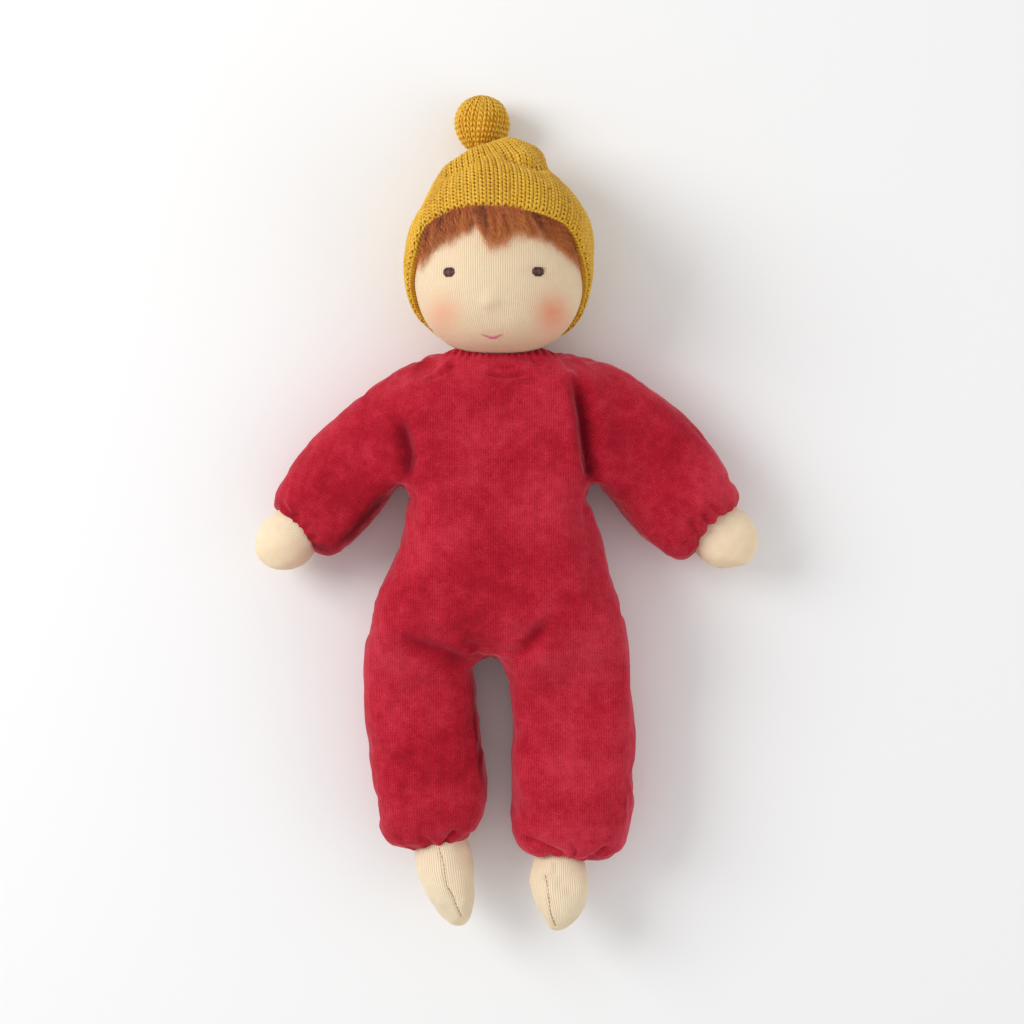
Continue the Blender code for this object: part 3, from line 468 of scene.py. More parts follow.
@dataclass(frozen=True)
class Jersey:
    """Fine cream cotton jersey: its wales run as close ribs, the cheeks are blushed, and painted shade tints
    the face.
    """

    name: str = "cream_jersey"
    middle: Colour = srgb(241, 220, 186)
    shade: Colour = srgb(225, 191, 150)
    blush: Colour = srgb(240, 152, 118)
    relief: float = 0.00030
    course: float = 0.25

    def material(self) -> bpy.types.Material:
        """The finish as nodes; it reads the stitch map, and how blushed, how tinted by painted shade and how
        plain a place is.
        """
        nodes = Nodes(self.name)
        u, v, _ = nodes.parts(nodes.add("ShaderNodeUVMap", {"uv_map": "stitches"}))
        plain = nodes.stored("plain", "Fac")
        rest = nodes.stored("rest")
        blush = nodes.stored("blush", "Fac")
        mottle = nodes.noise(rest, 260.0, 3.0)
        wander = (nodes.noise(rest, 90.0, 2.0) - 0.5) * 0.5
        wale = ((u + wander) * math.pi).sine().absolute()
        lean = ((u * TURN).sine() * 0.22 + v) * TURN
        course = (lean.sine() + 1) / 2
        ribbed = wale.power(0.6) * (1 - self.course) + course * wale * self.course
        height = ribbed * (1 - plain) + plain * 0.42
        tone = (height * 0.95 + (mottle - 0.5) * 0.5 + 0.14).clamped()
        cloth = nodes.mix(tone, self.shade, self.middle)
        # The cheeks are blushed; the same share tints the face as painted shade under the nose and fringe
        # and as painted bounce light on the chin.
        colour = nodes.mix((blush * (mottle * 0.6 + 0.7)).clamped(), cloth, self.blush)
        nodes.bump(height * 0.85 + mottle * 0.15, self.relief, 0.9)
        return nodes.finish(
            Base_Color=colour,
            Roughness=0.88,
            Specular_IOR_Level=0.2,
            Sheen_Weight=0.15,
            Sheen_Roughness=0.4,
        )


@dataclass(frozen=True)
class Yarn:
    """Spun yarn or thread: two plies that twist round each other, with a little fuzz."""

    name: str
    middle: Colour
    dark: Colour
    light: Colour
    plies: float = 5.0
    relief: float = 0.00018
    roughness: float = 0.8
    sheen: float = 0.2

    def material(self) -> bpy.types.Material:
        """The finish as nodes; it reads each vertex's place on its yarn and the yarn's own tone."""
        nodes = Nodes(self.name)
        across, along, _ = nodes.parts(nodes.stored("ply"))
        tone = nodes.stored("tone", "Fac")
        fuzz = nodes.noise(nodes.stored("rest"), 1800.0, 2.0)
        twist = (across + along * self.plies).wave(1.0)
        level = (twist * 0.3 + tone * 0.55 + (fuzz - 0.5) * 0.5 + 0.08).clamped()
        colour = nodes.ramp(level, (0.0, self.dark), (0.45, self.middle), (1.0, self.light))
        nodes.bump(twist * 0.8 + fuzz * 0.2, self.relief, 0.8)
        return nodes.finish(
            Base_Color=colour,
            Roughness=self.roughness,
            Specular_IOR_Level=0.25,
            Sheen_Weight=self.sheen,
            Sheen_Roughness=0.4,
        )


@dataclass(frozen=True)
class Mohair:
    """Auburn mohair: glossy strands, copper at the tips and darkened towards the roots as painted shade of
    the dense hair under the cap's rim.
    """

    shaded_root: Colour = srgb(126, 52, 18)
    middle: Colour = srgb(196, 96, 34)
    tip: Colour = srgb(240, 156, 78)

    def material(self) -> bpy.types.Material:
        """The finish as nodes; it reads each vertex's share of its strand and the strand's tone."""
        nodes = Nodes("auburn_mohair")
        _, along, _ = nodes.parts(nodes.stored("ply"))
        tone = nodes.stored("tone", "Fac")
        # Painted shade: the strands darken towards their roots under the cap's rim.
        level = (along * 0.75 + tone * 0.75 - 0.31).clamped()
        colour = nodes.ramp(level, (0.0, self.shaded_root), (0.5, self.middle), (1.0, self.tip))
        return nodes.finish(
            Base_Color=colour, Roughness=0.5, Specular_IOR_Level=0.45, Sheen_Weight=0.2
        )


# The velour suit

def surface_net(level: np.ndarray, low: np.ndarray, pitch: float) -> tuple[np.ndarray, np.ndarray]:
    """The surface where a field on a block of places crosses zero, as an even net of quads.

    Args:
        level: The field (nx, ny, nz), above zero inside the form.
        low: Place of the first value.
        pitch: Distance between neighbouring values.

    Returns:
        Vertices (n, 3) and quads (m, 4) whose faces point out.
    """
    corners = [np.array([i, j, k]) for i in (0, 1) for j in (0, 1) for k in (0, 1)]
    size = np.array(level.shape) - 1

    def corner(step: np.ndarray) -> np.ndarray:
        """The field at one corner of every cell."""
        i, j, k = step
        return level[i : size[0] + i, j : size[1] + j, k : size[2] + k]

    inside = sum((corner(step) > 0).astype(np.int8) for step in corners)
    cells = np.argwhere((inside > 0) & (inside < 8))
    number = np.full(tuple(size), -1, np.int64)
    number[tuple(cells.T)] = np.arange(len(cells))
    total = np.zeros((len(cells), 3))
    count = np.zeros(len(cells))
    for first in corners:
        for axis in range(3):
            if first[axis]:
                continue
            second = first.copy()
            second[axis] = 1
            a = level[tuple((cells + first).T)]
            b = level[tuple((cells + second).T)]
            crosses = (a > 0) != (b > 0)
            share = np.where(crosses, a / np.where(a == b, 1, a - b), 0)
            total += np.where(crosses[:, None], first + share[:, None] * (second - first), 0)
            count += crosses
    points = low + (cells + total / count[:, None]) * pitch

    quads = []
    for axis in range(3):
        step = np.zeros(3, int)
        step[axis] = 1
        here = level[: level.shape[0] - step[0], : level.shape[1] - step[1], : level.shape[2] - step[2]]
        there = level[step[0] :, step[1] :, step[2] :]
        edges = np.argwhere((here > 0) != (there > 0))
        side, up = [a for a in range(3) if a != axis]
        inner = (edges[:, side] > 0) & (edges[:, up] > 0)
        inner &= (edges[:, side] < size[side]) & (edges[:, up] < size[up])
        edges = edges[inner]
        loop = []
        for back_side, back_up in ((1, 1), (0, 1), (0, 0), (1, 0)):
            cell = edges.copy()
            cell[:, side] -= back_side
            cell[:, up] -= back_up
            loop.append(number[tuple(cell.T)])
        quad = np.stack(loop, axis=1)
        leaves = (here[tuple(edges.T)] > 0) != (axis == 1)
        quad[~leaves] = quad[~leaves][:, ::-1]
        quads.append(quad)
    return points, np.concatenate(quads)


@dataclass(frozen=True)
class HeadForm:
    """The rounded form of the head without its face."""

    middle: Triple = (0.0, 0.1078, 0.0388)
    half_width: float = 0.0374
    half_depth: float = 0.0353
    half_height: float = 0.0392
    power: float = 2.5

    def underside(self, x: np.ndarray, z: np.ndarray) -> np.ndarray:
        """How far up the underside of the head is at places across and above the floor."""
        away = np.hypot((x - self.middle[0]) / self.half_width, (z - self.middle[2]) / self.half_depth)
        share = np.clip(1 - np.clip(away, 0, 1) ** self.power, 0, 1) ** (1 / self.power)
        return self.middle[1] - self.half_height * share

    def size(self, share: np.ndarray) -> np.ndarray:
        """Width at a share of the half height above or below the middle, as a share of the widest."""
        return np.clip(1 - np.abs(share) ** self.power, 0, 1) ** (1 / self.power)


@dataclass
class Line:
    """A crease, seam or gather line in the plane of the cloth, with its depth, its width and the painted
    shade it lays on the velour.
    """

    path: tuple[tuple[float, float], ...]
    depth: float
    width: float
    fade: float = 0.25
    front_only: bool = True
    # Painted shade laid along the line, from 0 to 1, beyond what its depth gives.
    shade: float = 0.0

    def distance(self, places: np.ndarray) -> tuple[np.ndarray, np.ndarray]:
        """Distance of each place from the line, and its share of the way along it.

        Args:
            places: Places (n, 2 or more), in metres.

        Returns:
            Distances and shares from 0 to 1.
        """
        points = np.array(self.path) * MM
        lengths = np.linalg.norm(np.diff(points, axis=0), axis=1)
        ends = np.concatenate([[0], np.cumsum(lengths)]) / lengths.sum()
        best = np.full(len(places), 1e9)
        share = np.zeros(len(places))
        for (start, stop), (low, high) in zip(zip(points, points[1:]), zip(ends, ends[1:])):
            run = stop - start
            t = np.clip(((places[:, :2] - start) @ run) / (run @ run), 0, 1)
            away = np.linalg.norm(places[:, :2] - start - t[:, None] * run, axis=1)
            closer = away < best
            best = np.where(closer, away, best)
            share = np.where(closer, low + (high - low) * t, share)
        return best, share

    def strength(self, places: np.ndarray) -> np.ndarray:
        """How strongly the line marks each place, from 0 to 1, fading out at both ends."""
        away, share = self.distance(places)
        ends = ease(share, 0, self.fade) * ease(share, 1, 1 - self.fade)
        return np.exp(-((away / self.width) ** 2)) * ends


@dataclass
class Opening:
    """A gathered opening of the suit: where the cloth is drawn in round a wrist, ankle or neck."""

    centre: Triple
    outward: Triple
    inner: float
    pleats: int
    depth: float
    reach: float
    tuck: float
    seed: int

    def polar(self, places: np.ndarray) -> tuple[np.ndarray, np.ndarray, np.ndarray]:
        """Distance inside the opening's plane, distance from its axis and angle round it.

        Args:
            places: Places (n, 3), in metres.

        Returns:
            Depths into the cloth, radii and angles.
        """
        axis = np.array(self.outward) / np.linalg.norm(self.outward)
        side = np.cross(axis, (0, 0, 1.0))
        up = np.cross(side, axis)
        away = places - np.array(self.centre)
        return -(away @ axis), np.hypot(away @ side, away @ up), np.arctan2(away @ up, away @ side)

    def gather(self, places: np.ndarray, normals: np.ndarray) -> tuple[np.ndarray, np.ndarray]:
        """Pleats round the opening, and the cloth tucked in towards it.

        Args:
            places: Vertices of the suit.
            normals: Their normals.

        Returns:
            Moved vertices, and how deep in a pleat each one lies.
        """
        depth, radius, angle = self.polar(places)
        turns = np.stack([np.cos(angle), np.sin(angle), np.zeros_like(angle)], axis=1)
        wander = Ripples(self.seed, 2.1, 8)(turns) * 1.1
        long = self.reach * (0.75 + 0.45 * Ripples(self.seed + 1, 0.55, 10)(turns))
        long = np.maximum(long, self.reach * 0.3)
        near = np.exp(-np.maximum(depth, 0) / long * 1.6)
        near *= ease(radius, self.inner * 0.45, self.inner * 1.0) * (radius < self.inner * 4)
        wave = np.cos(self.pleats * angle + wander * 3)
        sharp = 1 - 2 * np.sqrt(np.maximum(0, (1 - wave) / 2))
        strong = 0.35 + 0.9 * ease(Ripples(self.seed + 2, 0.8, 9)(turns), -0.6, 1.0)
        lift = self.depth * near * sharp * strong
        axis = np.array(self.outward) / np.linalg.norm(self.outward)
        mouth = 1 - ease(radius, self.inner * 0.66, self.inner * 1.04)
        mouth = mouth * np.exp(-np.maximum(depth, 0) / (self.reach * 0.8))
        moved = places + normals * lift[:, None] - axis * (self.tuck * mouth)[:, None]
        return moved, near * (1 - sharp) / 2


@dataclass
class Suit:
    """The velour suit: two pattern pieces sewn round their edge, stuffed, and gathered at its ends."""

    outline: tuple[tuple[float, float], ...] = (
        (-27.0, 70.6), (-35.7, 67.2), (-45.0, 62.8), (-51.7, 58.3), (-58.4, 53.9), (-67.7, 45.0),
        (-77.1, 36.1), (-86.0, 27.2), (-94.0, 18.3), (-97.5, 13.8), (-99.6, 9.4), (-100.9, 4.9),
        (-100.4, 0.4), (-97.1, -4.9), (-90.4, -11.5), (-84.2, -16.4), (-78.9, -19.5), (-74.8, -20.0),
        (-70.4, -17.8), (-64.6, -12.9), (-57.0, -4.0), (-49.9, 4.9), (-46.0, 9.4), (-43.3, 10.4),
        (-40.6, 8.5), (-39.9, 4.5), (-40.4, -2.0), (-41.6, -9.4), (-43.6, -16.3), (-47.7, -26.7),
        (-53.9, -39.6), (-57.2, -50.5), (-59.2, -64.0), (-59.4, -79.6), (-58.8, -93.0),
        (-57.9, -106.3), (-56.6, -119.7), (-55.2, -134.0), (-53.2, -143.3), (-49.5, -147.7),
        (-42.4, -150.6), (-33.5, -151.8), (-23.7, -151.1), (-16.6, -148.1), (-11.2, -143.3),
        (-7.6, -137.0), (-5.6, -129.9), (-5.2, -120.9), (-7.0, -109.8), (-9.6, -95.2),
        (-11.2, -82.0), (-12.4, -73.2), (-12.2, -69.3), (-9.3, -68.4), (-7.4, -66.4), (-4.4, -65.7),
        (-1.4, -66.6), (1.4, -69.6), (4.8, -75.4), (6.6, -84.0), (6.6, -106.3), (6.5, -119.7),
        (6.1, -133.0), (5.9, -141.5),
        (7.6, -147.5), (12.0, -152.2), (19.9, -155.1), (31.5, -156.5), (43.1, -156.0),
        (51.2, -153.3), (56.2, -148.1), (58.2, -141.5), (59.6, -130.8), (60.2, -119.7),
        (59.6, -106.3), (58.8, -93.0), (58.2, -79.6), (57.5, -66.3), (55.2, -50.5), (51.6, -37.0),
        (47.9, -26.0), (44.4, -14.0), (41.6, -4.0), (40.1, 4.5), (40.8, 9.0), (43.5, 10.9),
        (46.6, 9.3), (53.8, 0.5), (60.9, -8.4), (71.6, -17.3), (76.5, -20.4), (82.2, -21.4),
        (88.0, -17.8), (95.1, -11.1), (101.8, -4.0), (106.4, 2.3), (107.4, 6.7), (106.3, 11.2),
        (101.4, 19.6), (94.7, 27.6), (87.1, 36.1), (77.8, 45.0), (68.0, 53.9), (61.8, 58.3),
        (54.2, 62.8), (44.0, 67.0), (32.8, 69.4), (26.0, 72.0), (19.5, 77.5), (10.6, 80.5),
        (0.0, 81.2), (-10.6, 80.5), (-20.0, 77.0),
    )
    pitch: float = 0.0023
    grid: float = 0.001
    chest_depth: float = 0.0262
    belly_depth: float = 0.0280
    sleeve_depth: float = 0.0202
    leg_depth: float = 0.0216
    fullness: float = 3.2
    floor_cut: float = 0.0005
    sleeve_turn: float = -0.74
    sleeve_way: tuple[float, float] = (0.974, 0.228)
    sleeve_starts: tuple[float, float] = (0.036, 0.066)
    armhole: float = 0.0430
    leg_starts: tuple[float, float] = (-0.046, -0.080)
    belly_starts: tuple[float, float] = (0.045, -0.020)
    neck_starts: tuple[float, float] = (0.045, 0.072)
    neck_slope: float = 0.0018
    neck_bow: tuple[float, float] = (0.0036, 0.021)
    neck_sides: tuple[float, float] = (0.031, 0.024)
    neck_from: tuple[float, float] = (0.056, 0.060)
    neck_soft: float = 0.0007
    sleeves_from: float = -0.032
    skin: float = 0.0002
    held_below: float = 0.0012
    held_inside: float = 0.004
    ripples: tuple[tuple[int, float, int, float], ...] = (
        (5, 0.030, 12, 0.0005), (6, 0.011, 16, 0.00016),
    )
    puff: float = 0.0014
    pressure: float = 3.0
    frames: int = 12
    # Creases and gathers pressed into the cloth; each darkens the velour with painted shade, more for deeper
    # ones, and raised ridges get none.
    creases: tuple[Line, ...] = (
        Line(((-44.5, 47.0), (-43.0, 36.0), (-40.6, 26.0), (-40.8, 17.0), (-42.5, 8.0)), 0.0046, 0.0034, 0.4,
             False),
        Line(((32.6, 62.0), (35.6, 51.0), (38.0, 39.0), (39.6, 26.0), (41.0, 15.0), (42.9, 5.0)), 0.0066,
             0.0034, 0.24, False),
        Line(((-39.4, 22.0), (-34.5, 24.6), (-29.5, 25.8)), 0.0010, 0.0013, 0.4),
        # Mostly painted shade, barely pressed in: a dark band under the right sleeve's lower edge and one
        # down the inner edge of the right leg.
        Line(((-45.5, 10.8), (-50.8, 5.6), (-56.0, 0.3), (-62.3, -7.0), (-66.9, -11.8), (-75.0, -18.4)),
             0.0006, 0.0019, 0.3, True, 0.95),
        Line(((-13.0, -68.5), (-10.5, -87.3), (-8.0, -112.9), (-5.5, -124.9), (-5.9, -132.9)), 0.0002,
             0.0010, 0.2, True, 0.8),
        Line(((-47.0, -56.0), (-36.0, -58.5), (-22.0, -63.0), (-8.0, -67.5)), 0.0026, 0.0036, 0.4),
        Line(((1.0, -66.0), (10.0, -62.0), (19.0, -52.0), (27.0, -43.0)), 0.0030, 0.0036, 0.45),
        Line(((-7.0, -66.0), (-10.0, -60.0), (-16.0, -55.0)), 0.0012, 0.0028, 0.5),
        Line(((-9.0, -66.0), (-22.0, -68.5), (-33.0, -68.0)), 0.0010, 0.0026, 0.5),
        Line(((-12.0, 61.8), (-7.5, 60.0), (-2.5, 58.9), (3.0, 58.3), (8.0, 58.8), (12.5, 60.3),
              (17.0, 62.8)), 0.0012, 0.0013, 0.35),
        Line(((-13.0, 59.6), (-8.0, 57.9), (-2.5, 56.5), (3.0, 55.9), (8.0, 56.2), (12.5, 57.8),
              (17.6, 60.4)), -0.0011, 0.0015, 0.35),
        Line(((-29.0, 60.5), (-24.5, 63.0), (-19.5, 67.0)), -0.0009, 0.0014, 0.3),
        Line(((-27.0, 58.5), (-22.0, 61.5), (-17.5, 65.5)), 0.0010, 0.0014, 0.3),
        Line(((-21.0, 50.0), (-16.0, 46.6), (-12.0, 43.0)), -0.0006, 0.0013, 0.35),
        Line(((-4.0, 63.2), (3.0, 62.2), (9.0, 64.2)), 0.0009, 0.0011, 0.35),
        Line(((14.0, 68.0), (15.6, 64.8), (20.0, 62.6)), 0.0010, 0.0012, 0.35),
        Line(((-33.0, -96.0), (-22.0, -99.0), (-9.0, -96.0)), 0.0006, 0.0036, 0.4),
        Line(((-52.0, -106.0), (-42.0, -109.0), (-33.0, -107.0)), 0.0005, 0.0030, 0.4),
        Line(((-30.0, -114.0), (-20.0, -118.0), (-9.0, -116.0)), 0.0007, 0.0030, 0.4),
        Line(((30.0, -104.0), (42.0, -108.0), (52.0, -112.0)), 0.0007, 0.0024, 0.4),
        Line(((10.0, -84.0), (20.0, -80.0), (29.0, -82.0)), 0.0006, 0.0030, 0.4),
        Line(((-98.0, 7.0), (-95.4, 1.5), (-92.0, -2.6)), 0.0009, 0.0014, 0.35),
        Line(((-92.8, -5.4), (-90.4, -2.6), (-86.5, -0.5)), 0.0013, 0.0016, 0.4),
        Line(((-80.5, -9.0), (-83.2, -16.2)), 0.0010, 0.0020, 0.3),
        Line(((100.3, -6.0), (95.8, 0.2), (91.0, 4.2)), 0.0014, 0.0017, 0.25),
        Line(((95.6, -11.0), (91.8, -4.4), (88.0, 0.4)), 0.0017, 0.0015, 0.25),
        Line(((90.8, -14.4), (86.4, -8.6), (84.0, -2.4)), 0.0015, 0.0017, 0.25),
        Line(((85.6, -18.0), (81.4, -12.6)), 0.0010, 0.0016, 0.25),
        Line(((-25.0, -149.0), (-22.0, -143.6), (-18.4, -139.4)), 0.0019, 0.0015, 0.25),
        Line(((-28.8, -150.6), (-30.4, -146.0), (-36.0, -142.4)), 0.0011, 0.0017, 0.3),
        Line(((-22.5, -150.0), (-17.0, -147.0), (-12.0, -141.0)), 0.0009, 0.0018, 0.3),
        Line(((31.8, -154.6), (27.0, -150.4), (18.0, -146.0), (9.6, -143.0)), 0.0018, 0.0017, 0.25),
        Line(((32.4, -154.4), (33.8, -149.6), (30.6, -145.0)), 0.0012, 0.0012, 0.25),
        Line(((37.4, -155.4), (42.4, -151.8), (49.4, -147.6)), 0.0016, 0.0017, 0.25),
        Line(((24.0, -155.4), (20.4, -150.6)), 0.0010, 0.0014, 0.25),
    )
    openings: tuple[Opening, ...] = (
        Opening((0.0, 0.0706, 0.0275), (0, 1, 0.10), 0.0185, 44, 0.00042, 0.0020, 0.0, 11),
        Opening((-0.0893, -0.0075, 0.0193), (-0.687, -0.727, 0), 0.0128, 13, 0.0005,
                0.0050, 0.0028, 21),
        Opening((0.0964, -0.0083, 0.0193), (0.729, -0.685, 0), 0.0130, 14, 0.0007,
                0.0060, 0.0034, 31),
        Opening((-0.0276, -0.1512, 0.0205), (0, -1, 0), 0.0124, 12, 0.0006, 0.0055,
                0.006, 41),
        Opening((0.0268, -0.1566, 0.0205), (0, -1, 0), 0.0128, 13, 0.0007, 0.0062,
                0.006, 51),
    )
    head: HeadForm = HeadForm()
    neck_top: float = 0.0745

    def _smooth_outline(self) -> np.ndarray:
        """The sewn edge as a fine closed line (n, 2), in metres."""
        points = np.array(self.outline) * MM
        for _ in range(3):
            after = np.roll(points, -1, axis=0)
            middle = (points + after) / 2
            before, second = np.roll(points, 1, axis=0), np.roll(points, -2, axis=0)
            middle += (points + after - before - second) / 16
            points = np.stack([points, middle], axis=1).reshape(-1, 2)
        return points

    @staticmethod
    def _signed_distance(places: np.ndarray, edge: np.ndarray) -> np.ndarray:
        """Distance of each place (n, 2) from a closed line, above zero inside it."""
        inside = np.zeros(len(places), bool)
        nearest = np.full(len(places), 1e9)
        x, y = places.T
        for start, stop in zip(edge, np.roll(edge, -1, axis=0)):
            run = stop - start
            t = np.clip(((places - start) @ run) / (run @ run), 0, 1)
            nearest = np.minimum(nearest, np.linalg.norm(places - start - t[:, None] * run, axis=1))
            if start[1] != stop[1]:
                spans = (start[1] > y) != (stop[1] > y)
                inside ^= spans & (x < start[0] + run[0] * (y - start[1]) / run[1])
        return np.where(inside, nearest, -nearest)

    def _stuffed(self, distance: np.ndarray, step: float) -> np.ndarray:
        """How the stuffing swells inside the seam, as the height of a film blown over the outline.

        Args:
            distance: Signed distance from the edge on a square grid (nx, ny).
            step: Distance between the grid's places.

        Returns:
            Swell on the same grid, zero at the edge and falling below zero outside it.
        """
        inside = distance > 0
        swell, turns = np.where(inside, distance * 0.02, 0.0), 1200
        if min(distance.shape) > 60:
            coarse = self._stuffed(distance[::2, ::2], step * 2)
            coarse = np.repeat(np.repeat(coarse, 2, axis=0), 2, axis=1)
            swell = coarse[: distance.shape[0], : distance.shape[1]] * inside
            turns = 260
        count, total = np.zeros_like(distance), np.zeros_like(distance)
        for axis in (0, 1):
            for turn in (1, -1):
                near = np.roll(inside, turn, axis)
                total += np.where(near, np.roll(distance, turn, axis), 0)
                count += near
        beside = (count > 0) & ~inside
        ratio = np.where(beside, distance * count / np.maximum(total, 1e-9), 0)
        ratio = np.maximum(ratio, -1)
        for _ in range(turns):
            around = sum(np.roll(np.where(inside, swell, 0), t, a) for a in (0, 1) for t in (1, -1))
            ghost = np.where(beside, ratio * around / np.maximum(count, 1), 0)
            full = swell + ghost
            mean = sum(np.roll(full, t, a) for a in (0, 1) for t in (1, -1)) / 4
            swell = np.where(inside, mean + step ** 2 / 4, 0)
        return self._carried_out(swell, distance, inside)

    @staticmethod
    def _carried_out(swell: np.ndarray, distance: np.ndarray, inside: np.ndarray) -> np.ndarray:
        """Continues the swell past the edge with the slope that it has inside."""
        slope = np.where(inside, swell / np.maximum(distance, 1e-9), 0)
        known = inside.astype(float)
        for _ in range(8):
            around = sum(np.roll(slope * known, t, a) for a in (0, 1) for t in (1, -1))
            count = sum(np.roll(known, t, a) for a in (0, 1) for t in (1, -1))
            slope = np.where(known > 0, slope, around / np.maximum(count, 1))
            known = np.maximum(known, count > 0)
        slope = np.where(known > 0, slope, 0.02)
        return np.where(inside, swell, slope * distance)

    def _out_along_sleeve(self, x: np.ndarray, y: np.ndarray) -> np.ndarray:
        """How far out towards the sleeves each place is."""
        return np.abs(x) * self.sleeve_way[0] + y * self.sleeve_way[1]

    def _depths(self, places: np.ndarray) -> np.ndarray:
        """Half the thickness that the stuffing reaches at each place (n, 2)."""
        x, y = places.T
        trunk = self.chest_depth + (self.belly_depth - self.chest_depth) * ease(y, *self.belly_starts)
        trunk = trunk - self.neck_slope * ease(y, *self.neck_starts)
        sleeve = ease(self._out_along_sleeve(x, y), *self.sleeve_starts)
        leg = ease(y, *self.leg_starts)
        depth = trunk + (self.sleeve_depth - trunk) * sleeve
        return depth + (self.leg_depth - depth) * leg * (1 - sleeve)

    def _blank(self) -> tuple[np.ndarray, np.ndarray]:
        """The stuffed form before its folds, as vertices and quads."""
        edge = self._smooth_outline()
        low, high = edge.min(0) - 0.008, edge.max(0) + 0.008
        xs = np.arange(low[0], high[0], self.grid)
        ys = np.arange(low[1], high[1], self.grid)
        flat = np.stack(np.meshgrid(xs, ys, indexing="ij"), axis=2).reshape(-1, 2)
        distance = self._signed_distance(flat, edge).reshape(len(xs), len(ys))
        swell = self._stuffed(distance, self.grid)
        step = self.pitch
        net_x, net_y = np.arange(low[0], high[0] - step, step), np.arange(low[1], high[1] - step, step)
        net_z = np.arange(-0.004, 0.062, step)
        sample = self._sample(swell, low, net_x, net_y)
        places = np.stack(np.meshgrid(net_x, net_y, indexing="ij"), axis=2).reshape(-1, 2)
        depth = self._depths(places).reshape(sample.shape)
        share = -np.expm1(-np.clip(self.fullness * sample / depth ** 2, -4, 40))
        height = depth ** 2 * share
        middle = depth - self.floor_cut
        away = net_z[None, None, :] - middle[:, :, None]
        level = height[:, :, None] - away ** 2
        level = np.minimum(level, (net_z[None, None, :] - self.skin) * 0.05)
        return surface_net(level, np.array([low[0], low[1], net_z[0]]), step)

    def _sample(self, rows: np.ndarray, low: np.ndarray, xs: np.ndarray, ys: np.ndarray) -> np.ndarray:
        """Values of a fine grid at the crossings of a coarser one, between its neighbours."""
        i = np.clip((xs - low[0]) / self.grid, 0, rows.shape[0] - 2)
        j = np.clip((ys - low[1]) / self.grid, 0, rows.shape[1] - 2)
        i0, j0 = i.astype(int), j.astype(int)
        a, b = (i - i0)[:, None], (j - j0)[None, :]
        low_row = rows[np.ix_(i0, j0)] * (1 - b) + rows[np.ix_(i0, j0 + 1)] * b
        high_row = rows[np.ix_(i0 + 1, j0)] * (1 - b) + rows[np.ix_(i0 + 1, j0 + 1)] * b
        return low_row * (1 - a) + high_row * a

    def _swell_cloth(self, piece: bpy.types.Object) -> None:
        """Blows the cloth up a little with simulated pressure, held at the floor and the openings."""
        before = places_of(piece)
        held = np.where(before[:, 2] < self.held_below, 1.0, 0.0)
        for opening in self.openings:
            depth, radius, _ = opening.polar(before)
            held = np.maximum(held, (depth < self.held_inside) & (radius < opening.inner * 1.6))
        group = piece.vertex_groups.new(name="held")
        for index in np.flatnonzero(held > 0.5).tolist():
            group.add([index], 1.0, "REPLACE")
        cloth = piece.modifiers.new("stuffing_pressure", "CLOTH")
        cloth.settings.quality = 4
        cloth.settings.mass = 0.2
        cloth.settings.tension_stiffness = 12
        cloth.settings.compression_stiffness = 12
        cloth.settings.bending_stiffness = 0.4
        cloth.settings.shrink_min = -0.02
        cloth.settings.use_pressure = True
        cloth.settings.uniform_pressure_force = self.pressure
        cloth.settings.vertex_group_mass = "held"
        cloth.settings.effector_weights.gravity = 0
        cloth.collision_settings.use_collision = False
        cloth.point_cache.frame_end = self.frames + 1
        for frame in range(1, self.frames + 1):
            bpy.context.scene.frame_set(frame)
        apply_modifiers(piece)
        bpy.context.scene.frame_set(1)
        moved = places_of(piece) - before
        far = np.linalg.norm(moved, axis=1, keepdims=True)
        moved *= np.minimum(1, self.puff / np.maximum(far, 1e-9))
        after = before + moved
        after[:, 2] = np.maximum(after[:, 2], self.skin)
        set_places(piece, after)

    def _relax(self, piece: bpy.types.Object, factor: float, turns: int) -> None:
        """Evens out the net of the form."""
        relax = piece.modifiers.new("even_net", "SMOOTH")
        relax.factor = factor
        relax.iterations = turns
        apply_modifiers(piece)

    def _fold(self, piece: bpy.types.Object) -> np.ndarray:
        """Presses creases and gathers into the fine cloth, and works out the shade painted into them.

        Args:
            piece: The subdivided suit.

        Returns:
            How much painted shade each vertex gets from creases, pleats and dark bands, from 0 to 1.
        """
        rest = places_of(piece)
        normals = normals_of(piece)
        front = ease(normals[:, 2], -0.5, 0.3)
        places, hollow = rest.copy(), np.zeros(len(rest))
        for crease in self.creases:
            mark = crease.strength(rest) * (front if crease.front_only else 1)
            side = np.sqrt(np.maximum(0, 1 - normals[:, 2] ** 2)) if not crease.front_only else 0
            places -= normals * (crease.depth * mark * (1 - 0.5 * side))[:, None]
            # Painted shade: each crease darkens the velour by its depth, or by the shade it is given; ridges
            # get none.
            hollow = np.maximum(hollow, mark * max(crease.shade, min(1, crease.depth / 0.006)))
        swell = sum(Ripples(*kind)(rest) * height for *kind, height in self.ripples)
        places += normals * (swell * (0.3 + 0.7 * front))[:, None]
        for opening in self.openings:
            places, pleat = opening.gather(places, normals)
            # Painted shade in the pleats round each opening.
            hollow = np.maximum(hollow, pleat * 0.8)
        places[:, 2] = np.maximum(places[:, 2], self.skin)
        set_places(piece, self._below_chin(places))
        return hollow

